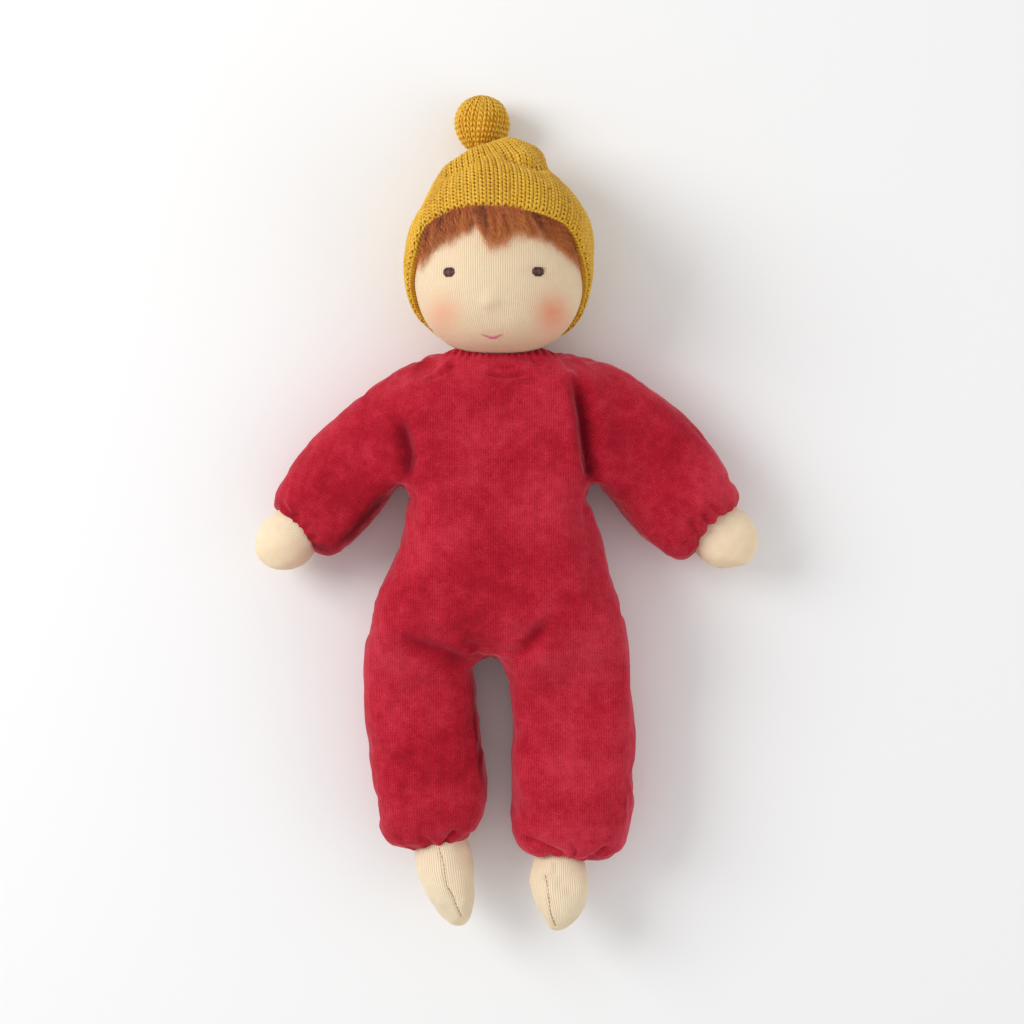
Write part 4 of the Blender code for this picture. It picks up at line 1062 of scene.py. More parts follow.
    def _below_chin(self, places: np.ndarray) -> np.ndarray:
        """Presses the neckline against the underside of the head, as its drawn thread holds it."""
        x, y, z = places.T
        soft, (drop, half_width) = self.neck_soft, self.neck_bow
        level = self.neck_top - drop * np.minimum((x / half_width) ** 2, 1.4)
        top = np.minimum(level, self.head.underside(x, z) - self.skin)
        pressed = top - soft * np.logaddexp(0, (top - y) / soft)
        neck = ease(np.abs(x), *self.neck_sides) * ease(y, *self.neck_from)
        return np.stack([x, y + (pressed - y) * neck, z], axis=1)

    def _weave(self, rest: np.ndarray, normals: np.ndarray) -> np.ndarray:
        """Where the knit runs: across the wales, along them, and how far the cloth lies upright."""
        x, y = rest[:, 0], rest[:, 1]
        turn = np.where(self._out_along_sleeve(x, y) > self.armhole, self.sleeve_turn, 0.0) * np.sign(x)
        turn = np.where(y > self.sleeves_from, turn, 0.0)
        across = x * np.cos(turn) - y * np.sin(turn)
        along = x * np.sin(turn) + y * np.cos(turn)
        return np.stack([across, along, np.abs(normals[:, 2])], axis=1)

    def build(self) -> bpy.types.Object:
        """The whole suit as one fine mesh, with its rest places and painted crease shade stored."""
        points, quads = self._blank()
        suit = new_mesh("suit", points, quads)
        self._relax(suit, 0.5, 4)
        self._swell_cloth(suit)
        fine = suit.modifiers.new("fine_cloth", "SUBSURF")
        fine.levels = fine.render_levels = 2
        apply_modifiers(suit)
        rest = places_of(suit)
        hollow = self._fold(suit)
        # Stores the painted shade of the creases and pleats for the velour.
        paint(suit, rest=rest, hollow=hollow, weave=self._weave(rest, normals_of(suit)))
        log.info("suit: %d vertices", len(rest))
        return suit


@dataclass(frozen=True)
class Panel:
    """One part of the suit, cut off where a limb begins to bend."""

    name: str
    body: str
    start: Triple
    end: Triple
    nodes: tuple[str, ...]


@dataclass
class SuitPanels:
    """Parts the suit where its limbs begin to bend; only the trunk is handed to its body."""

    trunk_nodes: tuple[str, ...] = ("torso_front", "torso_back", "torso_stuffing")
    limbs: tuple[Panel, ...] = (
        Panel("suit_sleeve_right", "arm_right", (-0.030, 0.067, 0.0185), (-0.0534, 0.0725, 0.0185),
              ("sleeve_right_front", "sleeve_right_back", "arm_stuffing_right", "cuff_thread_right")),
        Panel("suit_sleeve_left", "arm_left", (0.030, 0.067, 0.0185), (0.0534, 0.0725, 0.0185),
              ("sleeve_left_front", "sleeve_left_back", "arm_stuffing_left", "cuff_thread_left")),
        Panel("suit_leg_right", "leg_right", (-0.034, -0.0640, 0.0205), (-0.034, -0.0860, 0.0205),
              ("trouser_right_front", "trouser_right_back", "leg_stuffing_right",
               "ankle_thread_right")),
        Panel("suit_leg_left", "leg_left", (0.034, -0.0640, 0.0205), (0.034, -0.0860, 0.0205),
              ("trouser_left_front", "trouser_left_back", "leg_stuffing_left", "ankle_thread_left")),
    )
    middle_x: float = -0.0050

    def _owner(self, middles: np.ndarray) -> np.ndarray:
        """Which part each face belongs to: 0 for the trunk, or the number of a limb from 1."""
        owner = np.zeros(len(middles), int)
        for number, limb in enumerate(self.limbs, 1):
            run = np.array(limb.end) - np.array(limb.start)
            past = (middles - np.array(limb.start)) @ run > 0
            same_side = (middles[:, 0] - self.middle_x) * np.sign(limb.start[0]) > 0
            owner[past & same_side & (owner == 0)] = number
        return owner

    def part(self, suit: bpy.types.Object, material: bpy.types.Material) -> list[bpy.types.Object]:
        """Cuts the suit, hands the trunk to the torso and hides the frame's pieces that each part covers.

        Args:
            suit: The whole suit.
            material: Its velour.

        Returns:
            The trunk and the four limbs.
        """
        places, normals = places_of(suit), normals_of(suit)
        quads = np.array([tuple(face.vertices) for face in suit.data.polygons])
        stored = {}
        # Each part keeps the rest places, the weave and the painted crease shade.
        for name, width in (("rest", 3), ("weave", 3), ("hollow", 1)):
            flat = np.zeros(len(places) * width, np.float32)
            suit.data.attributes[name].data.foreach_get("vector" if width == 3 else "value", flat)
            stored[name] = flat.reshape(-1, 3) if width == 3 else flat
        owner = self._owner(places[quads].mean(axis=1))
        parts = []
        for number, name in enumerate(["suit_trunk", *(limb.name for limb in self.limbs)]):
            faces = quads[owner == number]
            used, numbers = np.unique(faces, return_inverse=True)
            part = new_mesh(name, places[used], numbers.reshape(faces.shape))
            part.data.normals_split_custom_set_from_vertices(normals[used].tolist())
            paint(part, **{key: rows[used] for key, rows in stored.items()})
            dress(part, material)
            parts.append(part)
            log.info("%s: %d faces", name, len(faces))
        bpy.data.objects.remove(suit)
        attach(parts[0], "torso")
        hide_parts(*self.trunk_nodes)
        for limb, part in zip(self.limbs, parts[1:]):
            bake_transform(part)
            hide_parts(*limb.nodes)
        return parts


# Threads, strands and yarn

@dataclass
class Strands:
    """Many thin tubes made as one mesh: threads, hairs or the legs of knitted stitches.

    Args:
        sides: Corners of each tube's section.
    """

    sides: int = 6
    points: list[np.ndarray] = field(default_factory=list)
    faces: list[np.ndarray] = field(default_factory=list)
    ply: list[np.ndarray] = field(default_factory=list)
    tone: list[np.ndarray] = field(default_factory=list)
    count: int = 0

    def add(
        self,
        paths: np.ndarray,
        radii: np.ndarray,
        ups: np.ndarray,
        tones: np.ndarray,
        flatten: float = 1.0,
        length_in_turns: float = 1.0,
    ) -> None:
        """Adds a batch of tubes that have the same number of points.

        Args:
            paths: Middle lines (n, m, 3).
            radii: Radius at each point (n, m).
            ups: Direction away from the surface at each point (n, m, 3).
            tones: Lightness of each tube (n,).
            flatten: Height of the section as a share of its width.
            length_in_turns: Value of the along coordinate at the far end.
        """
        number, steps, _ = paths.shape
        tangent = unit(np.gradient(paths, axis=1))
        side = unit(np.cross(tangent, ups))
        rise = np.cross(side, tangent)
        angle = TURN * np.arange(self.sides) / self.sides
        ring = (side[:, :, None] * np.cos(angle)[:, None]
                + rise[:, :, None] * (np.sin(angle) * flatten)[:, None])
        places = paths[:, :, None] + ring * radii[:, :, None, None]
        base = grid_faces(steps, self.sides)[:, ::-1]
        offsets = self.count + np.arange(number) * steps * self.sides
        self.points.append(places.reshape(-1, 3))
        self.faces.append((base[None] + offsets[:, None, None]).reshape(-1, 4))
        shape = (number, steps, self.sides)
        along = np.broadcast_to(np.linspace(0, length_in_turns, steps)[None, :, None], shape)
        across = np.broadcast_to((np.arange(self.sides) / self.sides)[None, None, :], shape)
        shade = np.broadcast_to(tones[:, None, None], shape)
        self.ply.append(np.stack([across, along, shade * 0], axis=3).reshape(-1, 3))
        self.tone.append(shade.reshape(-1))
        self.count += number * steps * self.sides

    def build(self, name: str, material: bpy.types.Material, slot: Slot) -> bpy.types.Object:
        """One mesh object of all the tubes, dressed."""
        points = np.concatenate(self.points)
        piece = new_mesh(name, points, np.concatenate(self.faces))
        paint(piece, ply=np.concatenate(self.ply), tone=np.concatenate(self.tone), rest=points)
        log.info("%s: %d vertices", name, len(points))
        return dress(piece, material)


@dataclass
class Surface:
    """The outside of a finished piece, for laying threads and hair on it."""

    tree: BVHTree

    @classmethod
    def of(cls, piece: bpy.types.Object) -> "Surface":
        """The surface of a mesh object."""
        polygons = [tuple(face.vertices) for face in piece.data.polygons]
        return cls(BVHTree.FromPolygons(places_of(piece).tolist(), polygons))

    def above(self, flat: np.ndarray) -> tuple[np.ndarray, np.ndarray]:
        """Where lines dropped from above meet the surface.

        Args:
            flat: Places (n, 2) seen from above.

        Returns:
            Places on the surface and the directions it faces, both (n, 3).
        """
        places, ways = [], []
        for x, y in flat:
            place, way, _, _ = self.tree.ray_cast(Vector((x, y, 0.3)), Vector((0, 0, -1)))
            if place is None:
                place, way, _, _ = self.tree.find_nearest(Vector((x, y, 0.03)))
            places.append(place)
            ways.append(way)
        return np.array(places, float), np.array(ways, float)


def stitched_line(
    surface: Surface, path: Sequence[tuple[float, float]], step: float, radius: float, gap: float
) -> tuple[np.ndarray, np.ndarray, np.ndarray]:
    """Small stitches along a line on the front of a piece.

    Args:
        surface: What is sewn.
        path: The line seen from above, in millimetres.
        step: Distance from one stitch to the next.
        radius: Thickness of the thread.
        gap: Share of the step that the thread runs under the cloth.

    Returns:
        Middle lines, radii and directions for Strands.add.
    """
    points = np.array(path) * MM
    lengths = np.linalg.norm(np.diff(points, axis=0), axis=1)
    ends = np.concatenate([[0], np.cumsum(lengths)])
    starts = np.arange(0, ends[-1] - step, step)
    shares = np.linspace(0, 1 - gap, 5)
    along = starts[:, None] + shares[None, :] * step
    flat = np.stack([np.interp(along, ends, points[:, axis]) for axis in (0, 1)], axis=2)
    places, ways = surface.above(flat.reshape(-1, 2))
    places, ways = places.reshape(*along.shape, 3), ways.reshape(*along.shape, 3)
    lift = np.array([-1.0, 0.3, 0.6, 0.3, -1.0]) * radius
    radii = np.tile(np.array([0.5, 1.0, 1.0, 1.0, 0.5]) * radius, (len(starts), 1))
    return places + ways * lift[None, :, None], radii, ways


# Hands and feet

@dataclass
class JerseyEnd:
    """A stuffed jersey hand or foot, drawn by its stations from inside the hem out to its tip.

    Each station is the distance along, the sideways shift, the half width, the half depth and the
    rise, in millimetres from the joint that carries the piece.
    """

    name: str
    body: str
    nodes: tuple[str, ...]
    pivot: Triple
    along: Triple
    stations: tuple[tuple[float, float, float, float, float], ...]
    seam: tuple[tuple[float, float], ...] = ()
    tucks: tuple[Line, ...] = ()
    wales: int = 84
    plain: tuple[float, float] = (0.86, 0.99)
    rows: int = 72
    columns: int = 72
    seed: int = 3

    def _profile(self) -> tuple[np.ndarray, ...]:
        """The stations on many rings, closer together towards the tip."""
        table = np.array(self.stations) * MM
        share = np.sin(np.linspace(0, math.pi / 2, self.rows))
        along = table[0, 0] + (table[-1, 0] - table[0, 0]) * share
        shift, rise = (self._eased(along, table, column) for column in (1, 4))
        width, depth = (self._eased(along, table, column, 2) for column in (2, 3))
        return along, shift, width, depth, rise

    @staticmethod
    def _eased(along: np.ndarray, table: np.ndarray, column: int, power: int = 1) -> np.ndarray:
        """One column between the stations, with its corners rounded off."""
        fine = np.linspace(table[0, 0], table[-1, 0], 400)
        values = np.interp(fine, table[:, 0], table[:, column] ** power)
        kernel = np.hanning(41)
        padded = np.pad(values, 20, mode="reflect", reflect_type="odd")
        values = np.convolve(padded, kernel / kernel.sum(), mode="valid")
        found = np.interp(along, fine, values)
        return np.maximum(found, 0) ** (1 / power) if power > 1 else found

    def build(self, jersey: bpy.types.Material, thread: bpy.types.Material) -> None:
        """Makes the skin and its sewn seam."""
        way = np.array(self.along) / np.linalg.norm(self.along)
        side = np.cross(way, (0, 0, 1.0))
        along, shift, width, depth, rise = self._profile()
        angle = TURN * np.arange(self.columns) / self.columns - math.pi / 2
        ring_side = np.cos(angle)[None, :] * width[:, None] + shift[:, None]
        ring_up = soft_wave(angle - math.pi / 2, 2.2)[None, :] * depth[:, None] + rise[:, None]
        places = (np.array(self.pivot) + along[:, None, None] * way
                  + ring_side[:, :, None] * side + ring_up[:, :, None] * np.array((0, 0, 1.0)))
        faces = grid_faces(self.rows, self.columns)
        skin = new_mesh(self.name, places.reshape(-1, 3), faces)
        face_out(skin, places.reshape(-1, 3) - np.repeat(places.mean(axis=1), self.columns, axis=0))
        length = along[-1] - along[0]
        grid_uv(skin, self.rows, self.columns, self.wales, length / 0.0008)
        rest, normals = places_of(skin), normals_of(skin)
        moved = rest + normals * (Ripples(self.seed, 0.012)(rest) * 0.00028)[:, None]
        top = ease(normals[:, 2], 0.0, 0.4)
        if self.seam:
            groove = Line(self.seam, 0.0, 0.0006, 0.06).strength(rest) * top
            lips = Line(self.seam, 0.0, 0.0022, 0.06).strength(rest) * top
            moved += normals * (lips * 0.0005 - groove * 0.0014)[:, None]
        for tuck in self.tucks:
            moved -= normals * (tuck.strength(rest) * tuck.depth * top)[:, None]
        set_places(skin, moved)
        plain = ease((along - along[0]) / length, *self.plain)
        paint(skin, rest=rest, blush=np.zeros(len(rest)), plain=np.repeat(plain, self.columns))
        dress(skin, jersey)
        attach(skin, self.body)
        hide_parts(*self.nodes)
        if self.seam:
            sewn = Strands(5)
            paths, radii, ways = stitched_line(Surface.of(skin), self.seam, 0.00180, 0.00018, 0.1)
            sewn.add(paths, radii, ways, np.full(len(paths), 0.4))
            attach(sewn.build(f"{self.name}_seam", thread, Slot.JERSEY), self.body)


def hands_and_feet() -> tuple[JerseyEnd, ...]:
    """The four jersey ends, measured from their joints."""
    return (
        JerseyEnd(
            "hand_right", "hand_right", ("hand_skin_right", "hand_stuffing_right"),
            (-0.0834335, -0.0010055, 0.0193), (-0.687, -0.727, 0),
            ((-4, 0, 7.5, 7.5, 0), (4, 0, 10.5, 9.6, 0), (10, 0, 12.0, 10.4, 0),
             (16, 0, 13.1, 11.2, 0), (20, 0.2, 12.9, 11.2, 0), (25, 0.4, 10.6, 9.6, 0),
             (29, 0.8, 6.8, 6.6, 0), (31.3, 1.0, 0, 0, 0)), plain=(0.30, 0.85), seed=61,
        ),
        JerseyEnd(
            "hand_left", "hand_left", ("hand_skin_left", "hand_stuffing_left"),
            (0.0902371, -0.0016833, 0.0193), (0.729, -0.685, 0),
            ((-4, 0, 7.5, 7.5, 0), (4, 0, 11.0, 9.8, 0), (9, 0, 13.4, 10.8, 0),
             (14, 0, 14.2, 11.4, 0), (18.5, 0, 13.8, 11.3, 0), (23.5, -0.2, 11.2, 9.6, 0),
             (27.5, -0.5, 6.8, 6.4, 0), (29.8, -0.6, 0, 0, 0)),
            wales=88, plain=(0.30, 0.85), seed=62,
        ),
        JerseyEnd(
            "foot_right", "foot_right", ("foot_skin_right", "foot_stuffing_right"),
            (-0.0276, -0.1435, 0.0205), (0, -1, 0),
            ((-4, 0, 7.0, 7.0, 0), (1, -1.0, 11.3, 10.6, 0), (7.3, -2.5, 12.4, 11.9, 0.5),
             (14.9, -3.4, 12.9, 12.6, 1.6), (22.4, -4.8, 11.7, 12.2, 3.2),
             (29.6, -6.7, 9.7, 10.4, 5.2), (35, -8.5, 7.3, 7.8, 6.8), (38.5, -9.3, 4.2, 4.6, 7.8),
             (39.9, -9.5, 0, 0, 8.2)),
            seam=((-26.4, -148.5), (-25.9, -151.0), (-24.1, -156.6), (-23.3, -164.9),
                  (-20.9, -168.4), (-18.5, -174.4), (-15.9, -180.1)),
            tucks=(Line(((-23.2, -165.5), (-19.5, -170.0), (-15.0, -172.5)), 0.0006, 0.0016),),
            wales=76, rows=90, seed=63,
        ),
        JerseyEnd(
            "foot_left", "foot_left", ("foot_skin_left", "foot_stuffing_left"),
            (0.0268, -0.1485, 0.0205), (0, -1, 0),
            ((-4, 0, 7.0, 7.0, 0), (2, 0.2, 9.3, 9.6, 0), (6.5, 0.1, 10.6, 11.4, 0.6),
             (10.8, 0.1, 12.2, 12.4, 1.4), (17, 0.0, 13.4, 12.8, 2.6), (22.3, -0.4, 12.4, 12.2, 4.0),
             (27.1, -0.8, 10.5, 10.6, 5.4), (32, -0.6, 7.7, 8.0, 6.8), (35, 0.2, 5.2, 5.4, 7.6),
             (37.2, 0.9, 0, 0, 8.0)),
            seam=((20.4, -160.9), (21.7, -166.7), (22.0, -172.0), (22.9, -178.0), (24.4, -182.4),
                  (25.6, -184.2)),
            tucks=(Line(((25.2, -154.5), (24.6, -159.0), (23.3, -160.9), (20.2, -161.3),
                         (17.5, -160.6)), 0.0013, 0.0008, 0.15),
                   Line(((24.5, -163.0), (29.5, -165.0), (33.0, -169.0)), 0.0009, 0.0028)),
            wales=80, rows=90, seed=64,
        ),
    )


# Head

@dataclass
class Head:
    """The jersey head: a wound ball in a tube of cloth, with a stitched face."""

    form: HeadForm = HeadForm()
    rows: int = 150
    columns: int = 220
    wales: int = 236
    course: float = 0.0008
    eyes: tuple[tuple[float, float], ...] = ((-0.0212, 0.1021), (0.0168, 0.1021))
    eye_size: tuple[float, float] = (0.0048, 0.0038)
    nose: tuple[float, float] = (-0.0039, 0.0893)
    mouth: tuple[tuple[float, float], ...] = (
        (-7.4, 76.1), (-5.2, 75.2), (-2.6, 74.6), (-0.4, 75.0), (1.7, 76.0)
    )
    cheeks: tuple[tuple[float, float, float], ...] = ((-0.0240, 0.0846, 0.55), (0.0232, 0.0850, 0.88))
    cheek_radius: float = 0.0074
    nose_bump: tuple[float, float] = (0.0036, 0.0016)
    eye_dent: tuple[float, float] = (0.0042, 0.0006)
    mouth_dent: tuple[float, float] = (0.0020, 0.0003)
    smile: tuple[tuple[float, int, int, float], ...] = (
        (0.0, 0, 24, 0.00026), (0.00042, 5, 21, 0.00028), (-0.00036, 8, 18, 0.00024)
    )
    neck: tuple[tuple[float, float], ...] = (
        (0.0828, 0.0040), (0.0800, 0.0100), (0.0740, 0.0134), (0.0680, 0.0139), (0.0610, 0.0118),
        (0.0560, 0.0108), (0.0500, 0.0106), (0.0462, 0.0088), (0.0448, 0.0081), (0.0434, 0.0088),
        (0.0415, 0.0098), (0.0402, 0.0060)
    )
    neck_rise: float = 0.030
    neck_columns: int = 48

    def build(self, finishes: "Finishes") -> Surface:
        """Makes the head and its face.

        Args:
            finishes: The doll's materials.

        Returns:
            The surface of the head, for the hair.
        """
        skin = self._skin(finishes.jersey)
        surface = Surface.of(skin)
        self._eyes(surface, finishes.brown)
        self._mouth(surface, finishes.pink)
        self._neck(finishes)
        return surface

    def _skin(self, material: bpy.types.Material) -> bpy.types.Object:
        """The head's cloth, with its nose, the dents of the eyes, the blushed cheeks and painted shade and
        bounce light on the face.
        """
        turn = np.linspace(0.0005, math.pi - 0.0005, self.rows)
        form = self.form
        share = -soft_wave(turn, form.power)
        size = np.sin(turn) ** (2 / form.power)
        angle = TURN * np.arange(self.columns) / self.columns - math.pi / 2
        x = np.cos(angle)[None, :] * size[:, None] * form.half_width
        z = np.sin(angle)[None, :] * size[:, None] * form.half_depth
        y = np.broadcast_to(share[:, None] * form.half_height, x.shape)
        rest = (np.stack([x, y, z], axis=2) + np.array(form.middle)).reshape(-1, 3)
        skin = new_mesh("head", rest, grid_faces(self.rows, self.columns)[:, ::-1])
        face_out(skin, rest - np.array(form.middle))
        grid_uv(skin, self.rows, self.columns, self.wales, 2.4 * form.half_height / self.course)
        normals = normals_of(skin)
        front = ease(normals[:, 2], 0.0, 0.3)
        lift = Ripples(71, 0.028)(rest) * 0.00022
        away = np.hypot(rest[:, 0] - self.nose[0], (rest[:, 1] - self.nose[1]) * 1.1)
        lift += bell(away, 0, self.nose_bump[0]) * self.nose_bump[1] * front
        for x_eye, y_eye in self.eyes:
            away = np.hypot(rest[:, 0] - x_eye, (rest[:, 1] - y_eye) * 1.2)
            lift -= bell(away, 0, self.eye_dent[0]) * self.eye_dent[1] * front
        low = np.array(self.mouth).mean(axis=0) * MM
        away = np.hypot((rest[:, 0] - low[0]) * 0.5, rest[:, 1] - low[1])
        lift -= bell(away, 0, self.mouth_dent[0]) * self.mouth_dent[1] * front
        set_places(skin, rest + normals * lift[:, None])
        blush = np.zeros(len(rest))
        for x_cheek, y_cheek, strength in self.cheeks:
            away = np.hypot(rest[:, 0] - x_cheek, rest[:, 1] - y_cheek)
            blush += bell(away, 0, self.cheek_radius) * strength * front
        # Painted light and shade: a glow of bounce light on the chin, and shade under the nose and under the
        # fringe, tinted like the cheeks.
        painted_bounce_and_shade = ease(rest[:, 1], 0.085, 0.069) * 0.30 * front
        below = np.hypot(rest[:, 0] - self.nose[0], rest[:, 1] - self.nose[1] + 0.0024)
        painted_bounce_and_shade += bell(below, 0, 0.0022) * 0.14 * front + ease(rest[:, 1], 0.104, 0.122) * 0.10 * front
        plain = np.repeat(ease(np.abs(share), 0.90, 1.0) * 0.75, self.columns)
        paint(skin, rest=rest, blush=blush + painted_bounce_and_shade, plain=plain)
        dress(skin, material)
        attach(skin, "head")
        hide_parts("head_skin", "head_ball", "nose_bead")
        return skin

    def _eyes(self, surface: Surface, thread: bpy.types.Material) -> None:
        """Two eyes of close satin stitches, with a painted highlight on their middle rows."""
        for name, (x_eye, y_eye) in zip(("right", "left"), self.eyes):
            random = np.random.default_rng(80 if name == "right" else 81)
            sewn = Strands(6)
            rows, points = 9, 9
            level = np.linspace(-1, 1, rows)
            half = self.eye_size[0] / 2 * (1 - np.abs(level) ** 3.2 * 0.42)
            half = half * random.uniform(0.94, 1.06, rows)
            share = np.linspace(-1, 1, points)
            flat_x = x_eye + share[None, :] * half[:, None]
            flat_y = y_eye + level[:, None] * (self.eye_size[1] / 2 - 0.0002) + np.zeros(points)
            flat_y = flat_y + random.uniform(-0.00006, 0.00006, (rows, 1))
            places, ways = surface.above(np.stack([flat_x, flat_y], axis=2).reshape(-1, 2))
            places, ways = places.reshape(rows, points, 3), ways.reshape(rows, points, 3)
            arch = np.clip(1 - share ** 6, 0, 1)[None, :] * (1 - 0.45 * level[:, None] ** 2) * 0.00062
            places = places + ways * (arch - 0.00012)[:, :, None]
            radii = np.full((rows, points), 0.00029)
            # Painted highlight: the middle rows of the satin are lighter.
            tones = 0.25 + 0.55 * np.exp(-((level / 0.45) ** 2)) + random.uniform(-0.1, 0.1, rows)
            sewn.add(places, radii, ways, tones)
            if name == "left":
                self._loose_threads(sewn, surface, x_eye, y_eye)
            eye = sewn.build(f"eye_stitches_{name}", thread, Slot.BROWN_THREAD)
            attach(eye, "head")
            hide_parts(f"eye_{name}")

    @staticmethod
    def _loose_threads(sewn: Strands, surface: Surface, x_eye: float, y_eye: float) -> None:
        """A few fine ends of thread that stick out at the eye's outer corner."""
        for angle, reach in ((0.15, 0.0011), (0.55, 0.0019), (0.85, 0.0015), (1.3, 0.0009)):
            share = np.linspace(0, 1, 6)
            far = 0.0017 + reach * share
            x = x_eye + far * math.cos(angle) * 1.1
            y = y_eye + far * math.sin(angle) * 0.9
            flat = np.stack([x, y], axis=1)
            places, ways = surface.above(flat)
            places = places + ways * (0.0003 + 0.0002 * share)[:, None]
            sewn.add(places[None], (0.00014 * (1.1 - 0.7 * share))[None], ways[None], np.array([0.5]))

    def _mouth(self, surface: Surface, thread: bpy.types.Material) -> None:
        """A smile of three strands of pink thread, the first the longest."""
        sewn = Strands(6)
        points = np.array(self.mouth) * MM
        for shift, low, high, radius in self.smile:
            share = np.linspace(0, 1, 25)[low : high + 1]
            x = np.interp(share, np.linspace(0, 1, len(points)), points[:, 0])
            curve = np.polyfit(points[:, 0], points[:, 1], 2)
            y = np.polyval(curve, x) + shift
            places, ways = surface.above(np.stack([x, y], axis=1))
            places = places + ways * 0.00016
            ends = np.clip(np.minimum(share - share[0], share[-1] - share) * 12 + 0.25, 0, 1)
            radii = radius * ends * (1 + 0.08 * np.sin(np.arange(len(share)) * 2.1))
            tone = np.array([0.45 + shift * 600])
            sewn.add(places[None], radii[None], ways[None], tone, length_in_turns=4.0)
        mouth = sewn.build("mouth_stitches", thread, Slot.PINK_THREAD)
        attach(mouth, "head")
        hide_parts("mouth")

    def _neck(self, finishes: "Finishes") -> None:
        """The tied tube of jersey below the head, inside the collar."""
        rows, columns, rise = len(self.neck), self.neck_columns, self.neck_rise
        angle = TURN * np.arange(columns) / columns
        pleat = 1 + 0.02 * np.cos(angle * 12)
        places = np.array([
            [(radius * c * k, y, rise + radius * s * k)
             for c, s, k in zip(np.cos(angle), np.sin(angle), pleat)]
            for y, radius in self.neck
        ]).reshape(-1, 3)
        tube = new_mesh("neck_jersey", places, grid_faces(rows, columns))
        face_out(tube, places - (0, 0.06, rise))
        grid_uv(tube, rows, columns, 66, 52)
        paint(tube, rest=places, blush=np.zeros(len(places)))
        dress(tube, finishes.jersey)
        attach(tube, "neck")
        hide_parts("neck_tube")
        wound = Strands(6)
        turns = np.linspace(0, TURN * 3, 90)
        ring = np.stack([np.cos(turns) * 0.0086, 0.0441 + turns / turns[-1] * 0.0018,
                         rise + np.sin(turns) * 0.0086], axis=1)
        ways = unit(ring - (0, 0.045, rise))
        wound.add(ring[None], np.full((1, 90), 0.0004), ways[None], np.array([0.5]), 1.0, 30.0)
        tie = wound.build("neck_tie_thread", finishes.red, Slot.RED_THREAD)
        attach(tie, "neck")
        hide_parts("neck_tie")


@dataclass(frozen=True)
class Rim:
    """The slanting edge of the cap: a plane, lifted on the forehead by millimetres at places across."""

    place: Triple = (0.0, 0.0965, 0.0420)
    way: Triple = (0.0, 0.718, -0.696)
    rises: tuple[tuple[float, float], ...] = (
        (-37.0, 0.0), (-34.8, 4.0), (-32.0, 6.6), (-28.0, 6.0), (-22.0, 5.0), (-16.0, 3.9),
        (-7.0, 2.6), (1.0, 1.6), (15.0, 1.8), (24.0, 2.4), (29.0, 3.0), (32.5, 1.8), (36.0, 0.0),
    )

    def rise(self, x: np.ndarray) -> np.ndarray:
        """How much further up the head the edge lies than its plane."""
        table = np.array(self.rises) * MM
        return np.interp(x, table[:, 0], table[:, 1])

    def level(self, x: np.ndarray, height: np.ndarray) -> np.ndarray:
        """How far up the head the edge is at a place across the face and a height above the floor."""
        slope = -self.way[2] / self.way[1]
        return self.place[1] + slope * (height - self.place[2]) + self.rise(x)


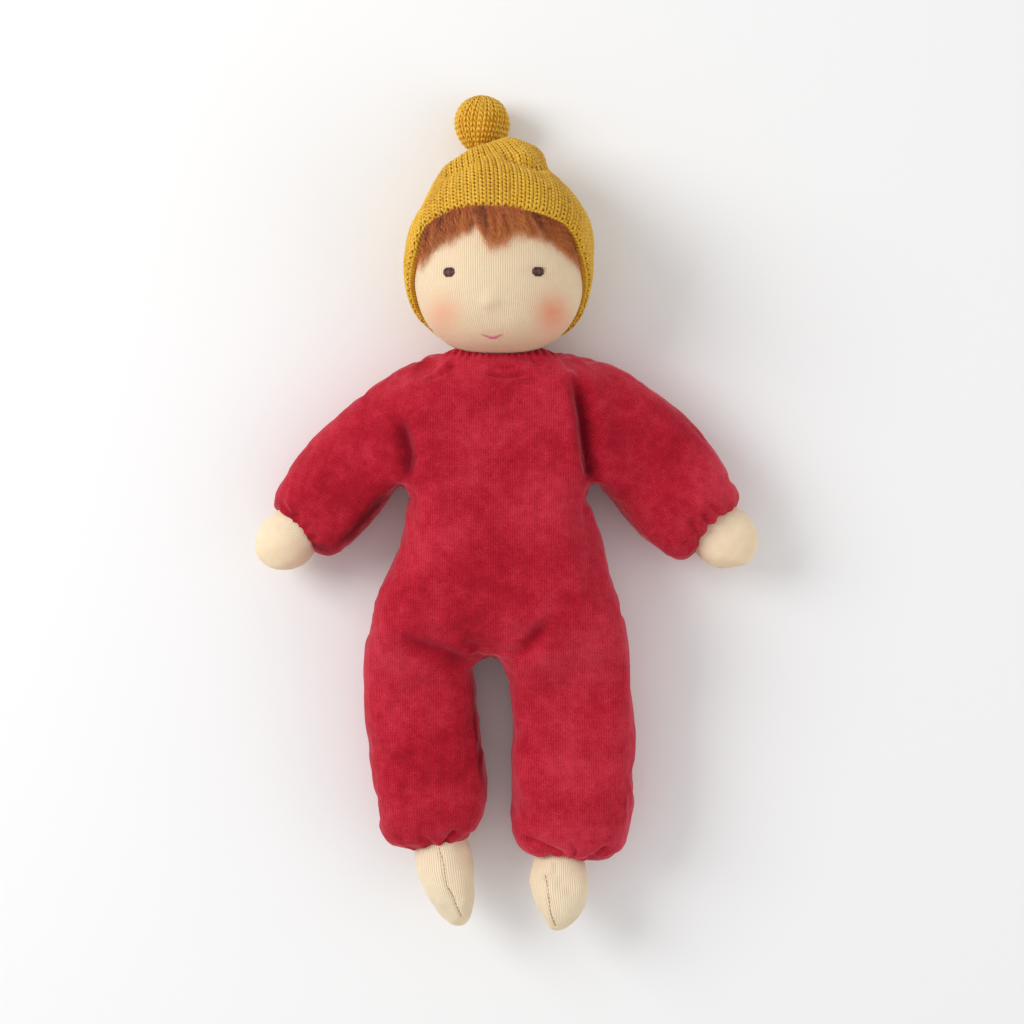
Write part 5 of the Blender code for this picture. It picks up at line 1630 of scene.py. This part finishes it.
@dataclass
class Fringe:
    """Curly mohair under the cap's rim: locks combed to both sides of a parting.

    The edge is where the tips of the locks lie on the forehead, in millimetres.
    """

    edge: tuple[tuple[float, float], ...] = (
        (-34.2, 105.9), (-32.0, 106.4), (-29.4, 109.0), (-27.3, 112.4), (-23.3, 114.5),
        (-19.5, 115.6), (-16.5, 118.4), (-13.2, 118.6), (-10.6, 121.5), (-9.0, 127.0),
        (-7.6, 121.0), (-5.6, 113.6), (-4.1, 111.1), (-1.3, 112.7), (3.4, 115.4), (7.2, 117.2),
        (14.6, 117.6),
        (19.5, 115.7), (23.2, 113.5), (26.2, 111.5), (29.2, 109.0), (31.6, 107.1), (34.4, 106.2),
    )
    parting: float = -9.0
    locks: int = 96
    hairs: int = 46
    steps: int = 20
    hair: float = 0.000088
    curls: tuple[float, float] = (0.00035, 0.00085)
    waves: tuple[float, float] = (0.0034, 0.0056)
    hidden: tuple[float, float] = (0.0025, 0.0100)
    half_width: float = 0.0345
    sweep: float = 0.055
    form: HeadForm = HeadForm()
    rim: Rim = Rim()
    seed: int = 91

    def _rim(self, x: np.ndarray) -> np.ndarray:
        """How far up the face the cap's rim is, on the front of the head."""
        form = self.form
        level = np.full(len(x), 0.12)
        for _ in range(30):
            size = form.size((level - form.middle[1]) / form.half_height)
            inner = np.clip(1 - ((x - form.middle[0]) / (form.half_width * size)) ** 2, 0, 1)
            height = form.middle[2] + form.half_depth * size * np.sqrt(inner)
            level = level + 0.4 * (self.rim.level(x, height) - level)
        return level

    def _ends(self, random: np.random.Generator) -> tuple[np.ndarray, np.ndarray, np.ndarray]:
        """Root and tip of every hair seen from above, and the number of its lock."""
        edge = np.array(self.edge) * MM
        tip_x = np.linspace(edge[0, 0], edge[-1, 0], self.locks)
        tip_x = tip_x + random.uniform(-0.0009, 0.0009, self.locks)
        tip_y = np.interp(tip_x, edge[:, 0], edge[:, 1]) - random.uniform(-0.0018, 0.0014, self.locks)
        side = np.sign(tip_x - self.parting * MM)
        reach = np.abs(tip_x - self.parting * MM)
        lean = np.where(side > 0, 0.0030 + 0.20 * reach, 0.0014 + 0.15 * reach)
        lean = lean * random.uniform(0.4, 1.5, self.locks)
        lock = np.repeat(np.arange(self.locks), self.hairs)
        root_x = (tip_x - side * lean)[lock] + random.normal(0, 0.0009, len(lock))
        root_x = np.clip(root_x, -self.half_width, self.half_width)
        near = np.abs(root_x - self.parting * MM) < 0.0015
        root_x = np.where(near, root_x + 0.0020 * side[lock], root_x)
        end_x = tip_x[lock] + random.normal(0, 0.0006, len(lock))
        end_y = tip_y[lock] + random.normal(0, 0.0004, len(lock))
        hidden = random.uniform(*self.hidden, len(lock))
        roots = np.stack([root_x, self._rim(root_x) + hidden], axis=1)
        return roots, np.stack([end_x, end_y], axis=1), lock

    def build(self, surface: Surface, material: bpy.types.Material) -> None:
        """Lays the hairs on the head."""
        random = np.random.default_rng(self.seed)
        roots, tips, lock = self._ends(random)
        number = len(lock)

        def by_lock(low: float, high: float) -> np.ndarray:
            """One random number for each lock, at its hairs."""
            return random.uniform(low, high, (self.locks, 1))[lock]

        share = np.linspace(0, 1, self.steps)[None, :]
        long = np.clip(random.normal(0.82, 0.22, (number, 1)), 0.3, 1.12)
        run = tips - roots
        far = np.linalg.norm(run, axis=1)[:, None]
        across = unit(np.stack([-run[:, 1], run[:, 0]], axis=1))
        wild = (random.random((number, 1)) > 0.86) * 1.0
        phase = by_lock(0, TURN) + random.normal(0, 0.45, (number, 1))
        wave = by_lock(*self.waves) * random.uniform(0.93, 1.07, (number, 1))
        turns = TURN * np.maximum(far, 0.004) / wave * share * long + phase
        size = by_lock(*self.curls) * (1 + 0.5 * wild)
        curl = size * np.sin(turns) * (0.3 + 0.7 * share)
        arch = np.sin(math.pi * share)
        bow = random.normal(0, 0.0010, (self.locks, 1))[lock] * arch
        sweep = self.sweep * np.sign(tips[:, :1] - self.parting * MM) * far * arch
        offset = curl + bow + sweep + random.normal(0, 0.0004, (number, 1)) * share
        flat = roots[:, None] + run[:, None] * (share * long)[:, :, None]
        flat = flat + across[:, None] * offset[:, :, None]
        places, ways = surface.above(flat.reshape(-1, 2))
        places, ways = places.reshape(number, -1, 3), ways.reshape(number, -1, 3)
        depth = by_lock(0.0001, 0.0024) + random.uniform(0, 0.0006, (number, 1))
        lift = depth * (1 - 0.75 * share ** 1.2) * (0.5 + 0.5 * ease(share, 0, 0.25))
        lift = lift + wild * random.uniform(0.0, 0.0014, (number, 1)) * share
        lift = lift + size * 0.8 * (1 + np.cos(turns)) * (0.3 + 0.7 * share)
        radii = self.hair * random.uniform(0.7, 1.3, (number, 1)) * (1 - 0.78 * share ** 2)
        tones = random.uniform(0.1, 0.9, self.locks)[lock] + random.normal(0, 0.16, number)
        tones = np.clip(tones, 0, 1)
        laid = Strands(4)
        laid.add(places + ways * lift[:, :, None], radii, ways, tones)
        hair = laid.build("fringe", material, Slot.MOHAIR)
        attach(hair, "head")
        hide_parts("hair")


# Cap and pompom

@dataclass
class Knit:
    """Leaves of plain knitting laid over a surface that is given by a function.

    Args:
        leaf: Half of the leaf's width at its middle.
        flatten: Depth of a leaf as a share of its width.
    """

    leaf: float
    flatten: float = 0.8

    @staticmethod
    def thinned(width: np.ndarray, number: int, least: float) -> tuple[np.ndarray, np.ndarray]:
        """Drops every other column, again and again, as the knitting narrows to its pole.

        Args:
            width: Room of each column at its rows, if none were dropped.
            number: Number of the column.
            least: Narrowest room that a column keeps.

        Returns:
            The rows at which the column goes on, and its room there.
        """
        level = np.clip(np.ceil(np.log2(least / np.maximum(width, 1e-7))), 0, 4).astype(int)
        room = width * 2.0 ** level
        return (number % 2 ** level == 0) & (room > least * 0.5), room

    def leaves(
        self,
        strands: Strands,
        start: np.ndarray,
        end: np.ndarray,
        outward: np.ndarray,
        swell: np.ndarray,
        tones: np.ndarray,
    ) -> None:
        """Adds one leaf for each pair of places.

        Args:
            strands: The mesh they go into.
            start: Lower ends (n, 3), sunk into the cloth.
            end: Upper ends (n, 3), sunk into the cloth.
            outward: Directions away from the cloth (n, 3).
            swell: Size of each leaf as a share (n,).
            tones: Lightness of each leaf (n,).
        """
        share = np.linspace(0, 1, 6)
        path = start[:, None] + (end - start)[:, None] * share[None, :, None]
        arch = np.sin(math.pi * share) ** 0.7
        rise = (arch * 0.75 - 0.35)[None, :, None] * self.leaf * swell[:, None, None]
        path = path + outward[:, None] * rise
        radii = self.leaf * swell[:, None] * (0.30 + 0.70 * np.sin(math.pi * share) ** 0.8)[None, :]
        strands.add(path, radii, np.broadcast_to(outward[:, None], path.shape), tones, self.flatten)


@dataclass
class Cap:
    """The rib knit cap: ribs of V stitches running from the rim to a drawn crown.

    The sections are the level along the head, the left and right edge, and the back and front edge
    of the cap's outside, in millimetres.
    """

    sections: tuple[tuple[float, float, float, float, float], ...] = (
        (66.0, -9.0, 9.0, 28.0, 47.0), (70.0, -17.5, 17.5, 22.1, 55.4), (73.0, -25.1, 25.1, 14.9, 62.6),
        (76.0, -29.5, 29.5, 10.8, 66.7), (82.0, -34.6, 34.9, 5.7, 71.8), (88.0, -37.4, 37.9, 2.8, 74.7),
        (94.0, -39.2, 39.6, 1.2, 76.3), (100.0, -40.2, 40.2, 0.5, 77.1), (107.8, -40.9, 40.7, 0.2, 77.4),
        (112.0, -41.0, 40.9, 0.1, 77.2), (118.0, -40.3, 40.9, 0.1, 76.6), (124.0, -38.6, 40.2, 0.3, 75.6),
        (130.0, -35.9, 38.4, 0.8, 73.6), (136.0, -32.9, 34.9, 1.9, 70.4), (141.0, -29.8, 31.0, 3.4, 66.6),
        (145.0, -27.8, 26.8, 5.2, 62.4), (149.0, -25.6, 21.9, 7.6, 57.4), (152.0, -22.4, 20.4, 9.8, 53.4),
        (155.0, -18.6, 19.8, 12.2, 49.2), (157.5, -15.6, 18.9, 14.6, 45.6), (160.0, -11.6, 17.2, 17.6, 41.8),
        (162.0, -7.4, 14.9, 20.6, 38.4), (164.0, -1.6, 10.6, 24.4, 34.4), (165.2, 3.0, 6.0, 28.0, 31.0),
    )
    middle: Triple = HeadForm.middle
    rim: Rim = Rim()
    pole: Triple = (-0.0085, 0.1575, 0.0135)
    power: float = 2.1
    ribs: int = 80
    leaf: float = 0.00080
    step: float = 0.0022
    overlap: float = 1.28
    least: float = 0.0014
    widest: float = 0.00158
    wall: float = 0.0033
    ground: float = -0.0006
    rows: int = 70
    crown_rows: int = 14
    around: int = 156
    folds: tuple[Line, ...] = (
        Line(((-27.5, 145.0), (-20.3, 148.6), (-15.0, 150.4), (-11.4, 152.4), (-8.0, 154.4),
              (-4.5, 157.6)), 0.0034, 0.0019, 0.25),
        Line(((-29.0, 147.0), (-23.5, 150.2), (-17.5, 154.2), (-11.0, 157.6), (-4.0, 161.0)), -0.0022,
             0.0024, 0.25),
        Line(((1.0, 157.4), (3.6, 153.4), (9.0, 150.9), (14.4, 149.9), (22.0, 149.0)), 0.0030, 0.0018,
             0.25),
        Line(((6.0, 157.0), (12.0, 155.4), (19.0, 153.4)), -0.0016, 0.0032, 0.35),
        Line(((-20.0, 141.0), (-4.0, 146.5), (10.0, 144.5)), -0.0008, 0.0050, 0.4),
    )
    seed: int = 101

    def __post_init__(self) -> None:
        """Smooths the sections and finds where the rim's plane crosses the surface."""
        table = np.array(self.sections) * MM
        self._levels = np.linspace(table[0, 0], table[-1, 0], 600)
        kernel = np.hanning(31)
        self._edges = []
        for column in range(1, 5):
            values = np.interp(self._levels, table[:, 0], table[:, column])
            padded = np.pad(values, 15, mode="reflect", reflect_type="odd")
            self._edges.append(np.convolve(padded, kernel / kernel.sum(), mode="valid"))
        self._rim_angles = np.linspace(0, TURN, 361)
        self._rim_openings = self._find_rim()

    def _outside(self, places: np.ndarray) -> np.ndarray:
        """Above zero where a place is outside the cap."""
        left, right, back, front = (
            np.interp(places[..., 1], self._levels, edge) for edge in self._edges
        )
        across = (places[..., 0] - (left + right) / 2) / (right - left) * 2
        up = (places[..., 2] - (back + front) / 2) / (front - back) * 2
        value = np.abs(across) ** self.power + np.abs(up) ** self.power - 1
        beyond = np.maximum(places[..., 1] - self._levels[-1], self._levels[0] - places[..., 1])
        return np.where(beyond > 0, 1 + beyond, value)

    def _radius(self, ways: np.ndarray) -> np.ndarray:
        """How far the cap's outside is from the middle of the head, along unit directions."""
        low, high = np.full(ways.shape[:-1], 0.010), np.full(ways.shape[:-1], 0.070)
        for _ in range(26):
            half = (low + high) / 2
            out = self._outside(np.array(self.middle) + ways * half[..., None]) > 0
            low, high = np.where(out, low, half), np.where(out, half, high)
        return (low + high) / 2

    def _find_rim(self) -> np.ndarray:
        """Angle from the rim's axis at which the surface meets the rim's plane, all the way round."""
        rim = unit(np.array(self.rim.way))
        side = np.array((1.0, 0, 0))
        front = np.cross(rim, side)
        around = self._rim_angles
        across = np.cos(around)[:, None] * side + np.sin(around)[:, None] * front
        level = rim @ (np.array(self.rim.place) - np.array(self.middle))
        low, high = np.full(len(around), 0.6), np.full(len(around), 2.6)
        for _ in range(24):
            half = (low + high) / 2
            ways = np.cos(half)[:, None] * rim + np.sin(half)[:, None] * across
            radius = self._radius(ways)
            rise = self.rim.rise(radius * ways[:, 0]) * ease(ways[:, 2], 0.05, 0.45)
            above = radius * (ways @ rim) > level + rise
            low, high = np.where(above, half, low), np.where(above, high, half)
        return (low + high) / 2

    def _rays(self, around: np.ndarray, up: np.ndarray) -> np.ndarray:
        """Directions from the head's middle at an angle round the cap and a share up to the pole."""
        rim = unit(np.array(self.rim.way))
        top = unit(np.array(self.pole) - np.array(self.middle))
        turn = math.acos(float(rim @ top))
        bend = ease(up, 0.0, 1.0) * turn
        axis = (np.sin(turn - bend)[..., None] * rim + np.sin(bend)[..., None] * top) / math.sin(turn)
        opening = np.interp(np.mod(around, TURN), self._rim_angles, self._rim_openings)
        opening = opening * (1 - up)
        side = np.array((1.0, 0, 0)) - (axis @ np.array((1.0, 0, 0)))[..., None] * axis
        side = unit(side)
        front = np.cross(axis, side)
        across = np.cos(around)[..., None] * side + np.sin(around)[..., None] * front
        return unit(np.cos(opening)[..., None] * axis + np.sin(opening)[..., None] * across)

    def surface(self, around: np.ndarray, up: np.ndarray, lift: float | np.ndarray = 0.0) -> np.ndarray:
        """Places of the cap's outside, with its folds."""
        ways = self._rays(around, up)
        radius = self._radius(ways)
        flat = (np.array(self.middle) + ways * radius[..., None]).reshape(-1, 3)
        front = ease(ways[..., 2].reshape(-1), -0.15, 0.15)
        fold = sum(line.strength(flat) * line.depth for line in self.folds) * front
        loose = Ripples(7, 0.024, 12)(flat) * 0.0005
        radius = radius - fold.reshape(radius.shape) + loose.reshape(radius.shape) + lift
        return np.array(self.middle) + ways * radius[..., None]

    def _shell(self, finishes: "Finishes") -> bpy.types.Object:
        """The cloth between and behind the ribs, open at the rim."""
        around = TURN * np.arange(self.around) / self.around
        up = np.linspace(0.006, 0.9, self.rows - self.crown_rows)
        up = np.concatenate([up, np.linspace(0.905, 1, self.crown_rows)])
        grid = np.meshgrid(around, up)
        outer = self.surface(*grid, self.ground)
        inner = self.surface(*grid, -self.wall)
        points = np.concatenate([outer[::-1].reshape(-1, 3), inner.reshape(-1, 3)])
        shell = new_mesh("cap_ground", points, grid_faces(self.rows * 2, self.around))
        outward = unit(points - np.array(self.middle))
        outward[self.rows * self.around :] *= -1
        face_out(shell, outward)
        paint(shell, ply=points * 0, tone=np.full(len(points), GROUND_TONE), rest=points)
        return dress(shell, finishes.ground)

    def build(self, finishes: "Finishes") -> None:
        """Makes the ground, the ribs of stitches and the cast-on edge."""
        shell = self._shell(finishes)
        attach(shell, "cap")
        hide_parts("cap")
        random = np.random.default_rng(self.seed)
        knit = Knit(self.leaf)
        strands = Strands(6)
        fine = np.linspace(0, 1, 240)
        for rib in range(self.ribs):
            self._add_rib(strands, knit, rib, fine, random)
        self._add_edge(strands, knit, random)
        ribs = strands.build("cap_ribs", finishes.wool, Slot.RIB_KNIT)
        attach(ribs, "cap")
        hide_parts("cap")

    def _add_rib(
        self,
        strands: Strands,
        knit: Knit,
        rib: int,
        fine: np.ndarray,
        random: np.random.Generator,
    ) -> None:
        """Lays one column of V stitches."""
        around = TURN * (rib + 0.5) / self.ribs
        line = self.surface(np.full(len(fine), around), fine)
        near = self.surface(np.full(len(fine), around + TURN / self.ribs), fine)
        pitch = np.linalg.norm(near - line, axis=1)
        lengths = np.concatenate([[0], np.cumsum(np.linalg.norm(np.diff(line, axis=0), axis=1))])
        places = (np.arange(int(lengths[-1] / self.step)) + random.uniform(0, 0.25)) * self.step
        up, width = np.interp(places, lengths, fine), np.interp(places, lengths, pitch)
        keep, width = knit.thinned(width, rib, self.least)
        keep &= up < 0.994
        places, up, width = places[keep], up[keep], width[keep]
        above = np.minimum(np.interp(places + self.step * self.overlap, lengths, fine), 0.999)
        full = np.interp(places, (0.0, 0.016, 0.040), (0.48, 0.44, 0.385))
        spread = np.minimum(width * full, self.widest)
        turn = TURN / self.ribs / np.maximum(np.interp(up, fine, pitch), 1e-6)
        shade = 0.5 + 0.10 * math.sin(around * 9) + random.normal(0, 0.05)
        centre = np.full(len(up), around)
        for side in (-1, 1):
            low = self.surface(centre + side * spread * 0.16 * turn, up)
            high = self.surface(centre + side * spread * turn, above)
            ways = self._rays(centre + side * spread * 0.7 * turn, up)
            swell = np.clip(width / 0.0031, 0.5, 1.0) * random.uniform(0.93, 1.07, len(up))
            tones = np.clip(shade + random.normal(0, 0.10, len(up)), 0, 1)
            knit.leaves(strands, low, high, ways, swell, tones)

    def _add_edge(self, strands: Strands, knit: Knit, random: np.random.Generator) -> None:
        """Lays the cast-on stitches that roll over the rim to the lining."""
        number = self.ribs * 2
        around = TURN * (np.arange(number) + 0.25) / number
        slant = 0.55 * TURN / number
        low = self.surface(around - slant, np.full(number, 0.004), -0.0026)
        high = self.surface(around + slant, np.full(number, 0.012), -0.0002)
        ways = -unit(np.array(self.rim.way))[None] + self._rays(around, np.full(number, 0.0)) * 0.6
        ways = unit(ways)
        swell = random.uniform(1.0, 1.2, number)
        tones = np.clip(0.42 + random.normal(0, 0.1, number), 0, 1)
        knit.leaves(strands, low, high, ways, swell, tones)


@dataclass
class Pompom:
    """The knit ball on the crown, stuffed and drawn in at its foot."""

    middle: Triple = (-0.0079, 0.1742, 0.0127)
    radius: float = 0.0122
    columns: int = 24
    leaf: float = 0.00060
    step: float = 0.00215
    least: float = 0.00125
    twist: float = 0.35
    drawn: float = 0.93
    ground: float = -0.0002
    rows: int = 30
    around: int = 52
    foot: Triple = (-0.0001, -0.0108, 0)
    windings: float = 6.6
    yarn: float = 0.00066
    seed: int = 111

    def _profile(self, share: np.ndarray) -> tuple[np.ndarray, np.ndarray]:
        """Radius and height of the ball from its top (0) to its foot (1)."""
        turn = np.maximum(share, 0.001) * math.pi * self.drawn
        drawn = 1 - 0.10 * ease(share, 0.5, 0.9)
        radius = np.sin(turn) ** 0.92 * self.radius * drawn
        height = np.cos(turn) * self.radius * (1.02 + 0.10 * ease(share, 0.5, 1.0))
        return radius, height

    def _fold(self, around: np.ndarray, share: np.ndarray) -> np.ndarray:
        """How deep the drawn foot is folded, from 0 to 1."""
        wander = around + 0.35 * np.sin(2 * around + 1.0)
        folds = np.clip(0.5 + 0.5 * np.cos(6 * wander + 2.2), 0, 1) ** 4
        start = 0.56 + 0.10 * np.sin(3 * around + 0.5)
        return folds * ease(share - start, 0.0, 0.26)

    def surface(self, around: np.ndarray, share: np.ndarray, lift: float = 0.0) -> np.ndarray:
        """Places of the ball's outside. Its axis runs from the head outward."""
        radius, height = self._profile(share)
        radius = radius * (1 - 0.13 * self._fold(around, share))
        lean = unit(np.array((0.02, 1.0, 0.0)))
        side = np.array((1.0, 0, 0))
        front = np.cross(side, lean)
        rim = (np.cos(around)[..., None] * side + np.sin(around)[..., None] * front)
        places = np.array(self.middle) + rim * (radius + lift)[..., None]
        places = places + lean * (height + lift * 0.5)[..., None]
        loose = Ripples(self.seed, 0.012, 8)(places.reshape(-1, 3)).reshape(*radius.shape, 1)
        return places + loose * 0.0004 * rim

    def build(self, finishes: "Finishes") -> None:
        """Makes the ball's ground, its columns of V stitches and the drawn thread."""
        around = TURN * np.arange(self.around) / self.around
        share = np.linspace(0.002, 1, self.rows)
        points = self.surface(*np.meshgrid(around, share), self.ground).reshape(-1, 3)
        ground = new_mesh("pompom_ground", points, grid_faces(self.rows, self.around))
        face_out(ground, points - np.array(self.middle))
        paint(ground, ply=points * 0, tone=np.full(len(points), GROUND_TONE), rest=points)
        dress(ground, finishes.ground)
        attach(ground, "pompom")
        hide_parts("pompom_cover", "pompom_stuffing")
        self._stitches(finishes)
        self._knot(finishes)

    def _stitches(self, finishes: "Finishes") -> None:
        """Columns of V stitches from the top to the foot, darker in the foot's folds as painted shade."""
        random = np.random.default_rng(self.seed)
        strands = Strands(6)
        knit = Knit(self.leaf)
        length = self.radius * math.pi * 0.95
        rows = int(length / self.step)
        share = (np.arange(rows) + 0.4) / rows
        for column in range(self.columns):
            around = TURN * (column + random.uniform(-0.14, 0.14)) / self.columns
            radius, _ = self._profile(share)
            width = TURN * radius / self.columns
            keep, room = knit.thinned(width, column, self.least)
            part, room, width = share[keep], room[keep], width[keep]
            for side in (-1, 1):
                centre = around + self.twist * part
                turn = TURN / self.columns / width
                spread = room * 0.27
                low = self.surface(centre + side * spread * 0.25 * turn, part + 0.66 / rows, 0.0)
                high = self.surface(centre + side * spread * 1.55 * turn, part - 0.60 / rows, 0.0)
                ways = unit(low - np.array(self.middle))
                swell = np.clip(room / 0.0026, 0.5, 1.08)
                # Painted shade: leaves in the folds of the drawn foot are darker.
                tones = 0.58 + random.normal(0, 0.11, len(part)) - 0.35 * self._fold(centre, part)
                tones = np.clip(tones, 0, 1)
                knit.leaves(strands, low, high, ways, swell, tones)
        ball = strands.build("pompom_stitches", finishes.wool, Slot.RIB_KNIT)
        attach(ball, "pompom")
        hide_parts("pompom_cover")

    def _knot(self, finishes: "Finishes") -> None:
        """The yarn that draws the foot in."""
        share = np.linspace(0, 1, 190)
        turns, radius = TURN * self.windings * share, 0.0042 - 0.0026 * share
        foot = np.array(self.middle) + np.array(self.foot)
        ring = np.stack([np.cos(turns) * radius, -0.0070 * share, np.sin(turns) * radius], axis=1)
        strands = Strands(6)
        ways, radii = unit(ring * (1, 0, 1)), np.full((1, len(share)), self.yarn)
        strands.add((foot + ring)[None], radii, ways[None], np.array([0.5]), 1.0, 66.0)
        knot = strands.build("pompom_thread", finishes.wool, Slot.RIB_KNIT)
        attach(knot, "pompom")
        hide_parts("pompom_knot")


@dataclass
class Finishes:
    """The doll's materials, made once and shared by its pieces."""

    velour: bpy.types.Material
    jersey: bpy.types.Material
    ribbed: bpy.types.Material
    wool: bpy.types.Material
    ground: bpy.types.Material
    red: bpy.types.Material
    brown: bpy.types.Material
    pink: bpy.types.Material
    cream: bpy.types.Material
    mohair: bpy.types.Material

    @classmethod
    def make(cls) -> "Finishes":
        """All the materials."""
        return cls(
            velour=Velour().material(),
            jersey=Jersey().material(),
            ribbed=Jersey("lengthwise_jersey", srgb(248, 229, 198), srgb(227, 195, 155),
                          relief=0.00034, course=0.0).material(),
            wool=Yarn("mustard_yarn", srgb(220, 168, 38), srgb(152, 94, 12), srgb(248, 212, 88),
                      plies=1.6, relief=0.00020, roughness=0.55, sheen=0.1).material(),
            ground=Yarn("mustard_ground", srgb(238, 150, 36), srgb(214, 124, 24), srgb(246, 172, 52),
                        plies=1.0, relief=0.00010, roughness=0.95, sheen=0.1).material(),
            red=Yarn("crimson_thread", srgb(150, 22, 44), srgb(95, 8, 26), srgb(190, 50, 70),
                     plies=2.0, relief=0.00008, roughness=0.7, sheen=0.2).material(),
            brown=Yarn("brown_thread", srgb(82, 50, 46), srgb(44, 24, 22), srgb(136, 96, 88),
                       plies=2.0, relief=0.00006, roughness=0.5, sheen=0.3).material(),
            pink=Yarn("pink_thread", srgb(214, 118, 132), srgb(164, 62, 84), srgb(238, 168, 168),
                      plies=3.0, relief=0.00006, roughness=0.6, sheen=0.2).material(),
            # Painted shade: the seam thread is darkened from cream to brown for the shadow of the groove it
            # lies in.
            cream=Yarn("seam_thread", srgb(190, 146, 104), srgb(150, 106, 70), srgb(216, 178, 136),
                       plies=1.5, relief=0.00005, roughness=0.8, sheen=0.1).material(),
            mohair=Mohair().material(),
        )


# Studio

@dataclass
class Studio:
    """A pale floor, soft lamps and the camera that looks straight down on the doll."""

    camera_place: Triple = (0.0057, -0.0004, 1.089)
    lens: float = 84.06
    sensor: float = 36.0
    floor_drop: float = 0.0004
    floor_size: float = 6.0
    floor_grey: float = 0.93
    key: tuple[Triple, float, float] = ((-1.20, 0.45, 0.95), 0.85, 15.1)
    fill: tuple[Triple, float, float] = ((1.25, -0.30, 0.70), 1.2, 3.8)
    sky: float = 0.62

    def _lamp(self, name: str, place: Triple, size: float, power: float) -> None:
        """A square lamp that looks at the middle of the doll."""
        light = bpy.data.lights.new(name, "AREA")
        light.size, light.energy = size, power
        lamp = bpy.data.objects.new(name, light)
        lamp.location = place
        away = Vector(place) - Vector((0, 0, 0.03))
        lamp.rotation_euler = away.to_track_quat("Z", "Y").to_euler()
        bpy.context.scene.collection.objects.link(lamp)

    def _floor(self) -> None:
        """The pale floor, with a little swell far out so that it isn't a bare plate."""
        steps = np.linspace(-0.5, 0.5, 25) * self.floor_size
        x, y = np.meshgrid(steps, steps, indexing="ij")
        far = np.hypot(x, y)
        z = 0.002 * ease(far, 1.0, 3.0) - self.floor_drop
        places = np.stack([x, y, z], axis=2).reshape(-1, 3)
        faces = grid_faces(25, 25, closed=False)[:, ::-1]
        floor = new_mesh("floor", places, faces)
        nodes = Nodes("white_paper")
        floor.data.materials.append(
            nodes.finish(Base_Color=(self.floor_grey,) * 3, Roughness=1.0, Specular_IOR_Level=0.0)
        )

    def build(self) -> None:
        """Makes the floor, the lamps, the sky and the camera."""
        self._floor()
        self._lamp("key", *self.key)
        self._lamp("fill", *self.fill)
        world = bpy.data.worlds.new("studio")
        bpy.context.scene.world = world
        world.use_nodes = True
        sky = world.node_tree.nodes["Background"].inputs
        sky["Color"].default_value, sky["Strength"].default_value = (1, 1, 1, 1), self.sky
        lens = bpy.data.cameras.new("camera")
        lens.lens, lens.sensor_width, lens.clip_start = self.lens, self.sensor, 0.01
        camera = bpy.data.objects.new("camera", lens)
        camera.location = self.camera_place
        bpy.context.scene.collection.objects.link(camera)
        bpy.context.scene.camera = camera
        bpy.context.scene.view_settings.view_transform = "Standard"


def main() -> None:
    """Loads the frame and dresses it, piece by piece."""
    logging.basicConfig(level=logging.INFO, format="%(name)s %(message)s")
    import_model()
    finishes = Finishes.make()
    SuitPanels().part(Suit().build(), finishes.velour)
    for end in hands_and_feet():
        end.build(finishes.ribbed, finishes.cream)
    Fringe().build(Head().build(finishes), finishes.mohair)
    Cap().build(finishes)
    Pompom().build(finishes)
    Studio().build()


if __name__ == "__main__":
    main()
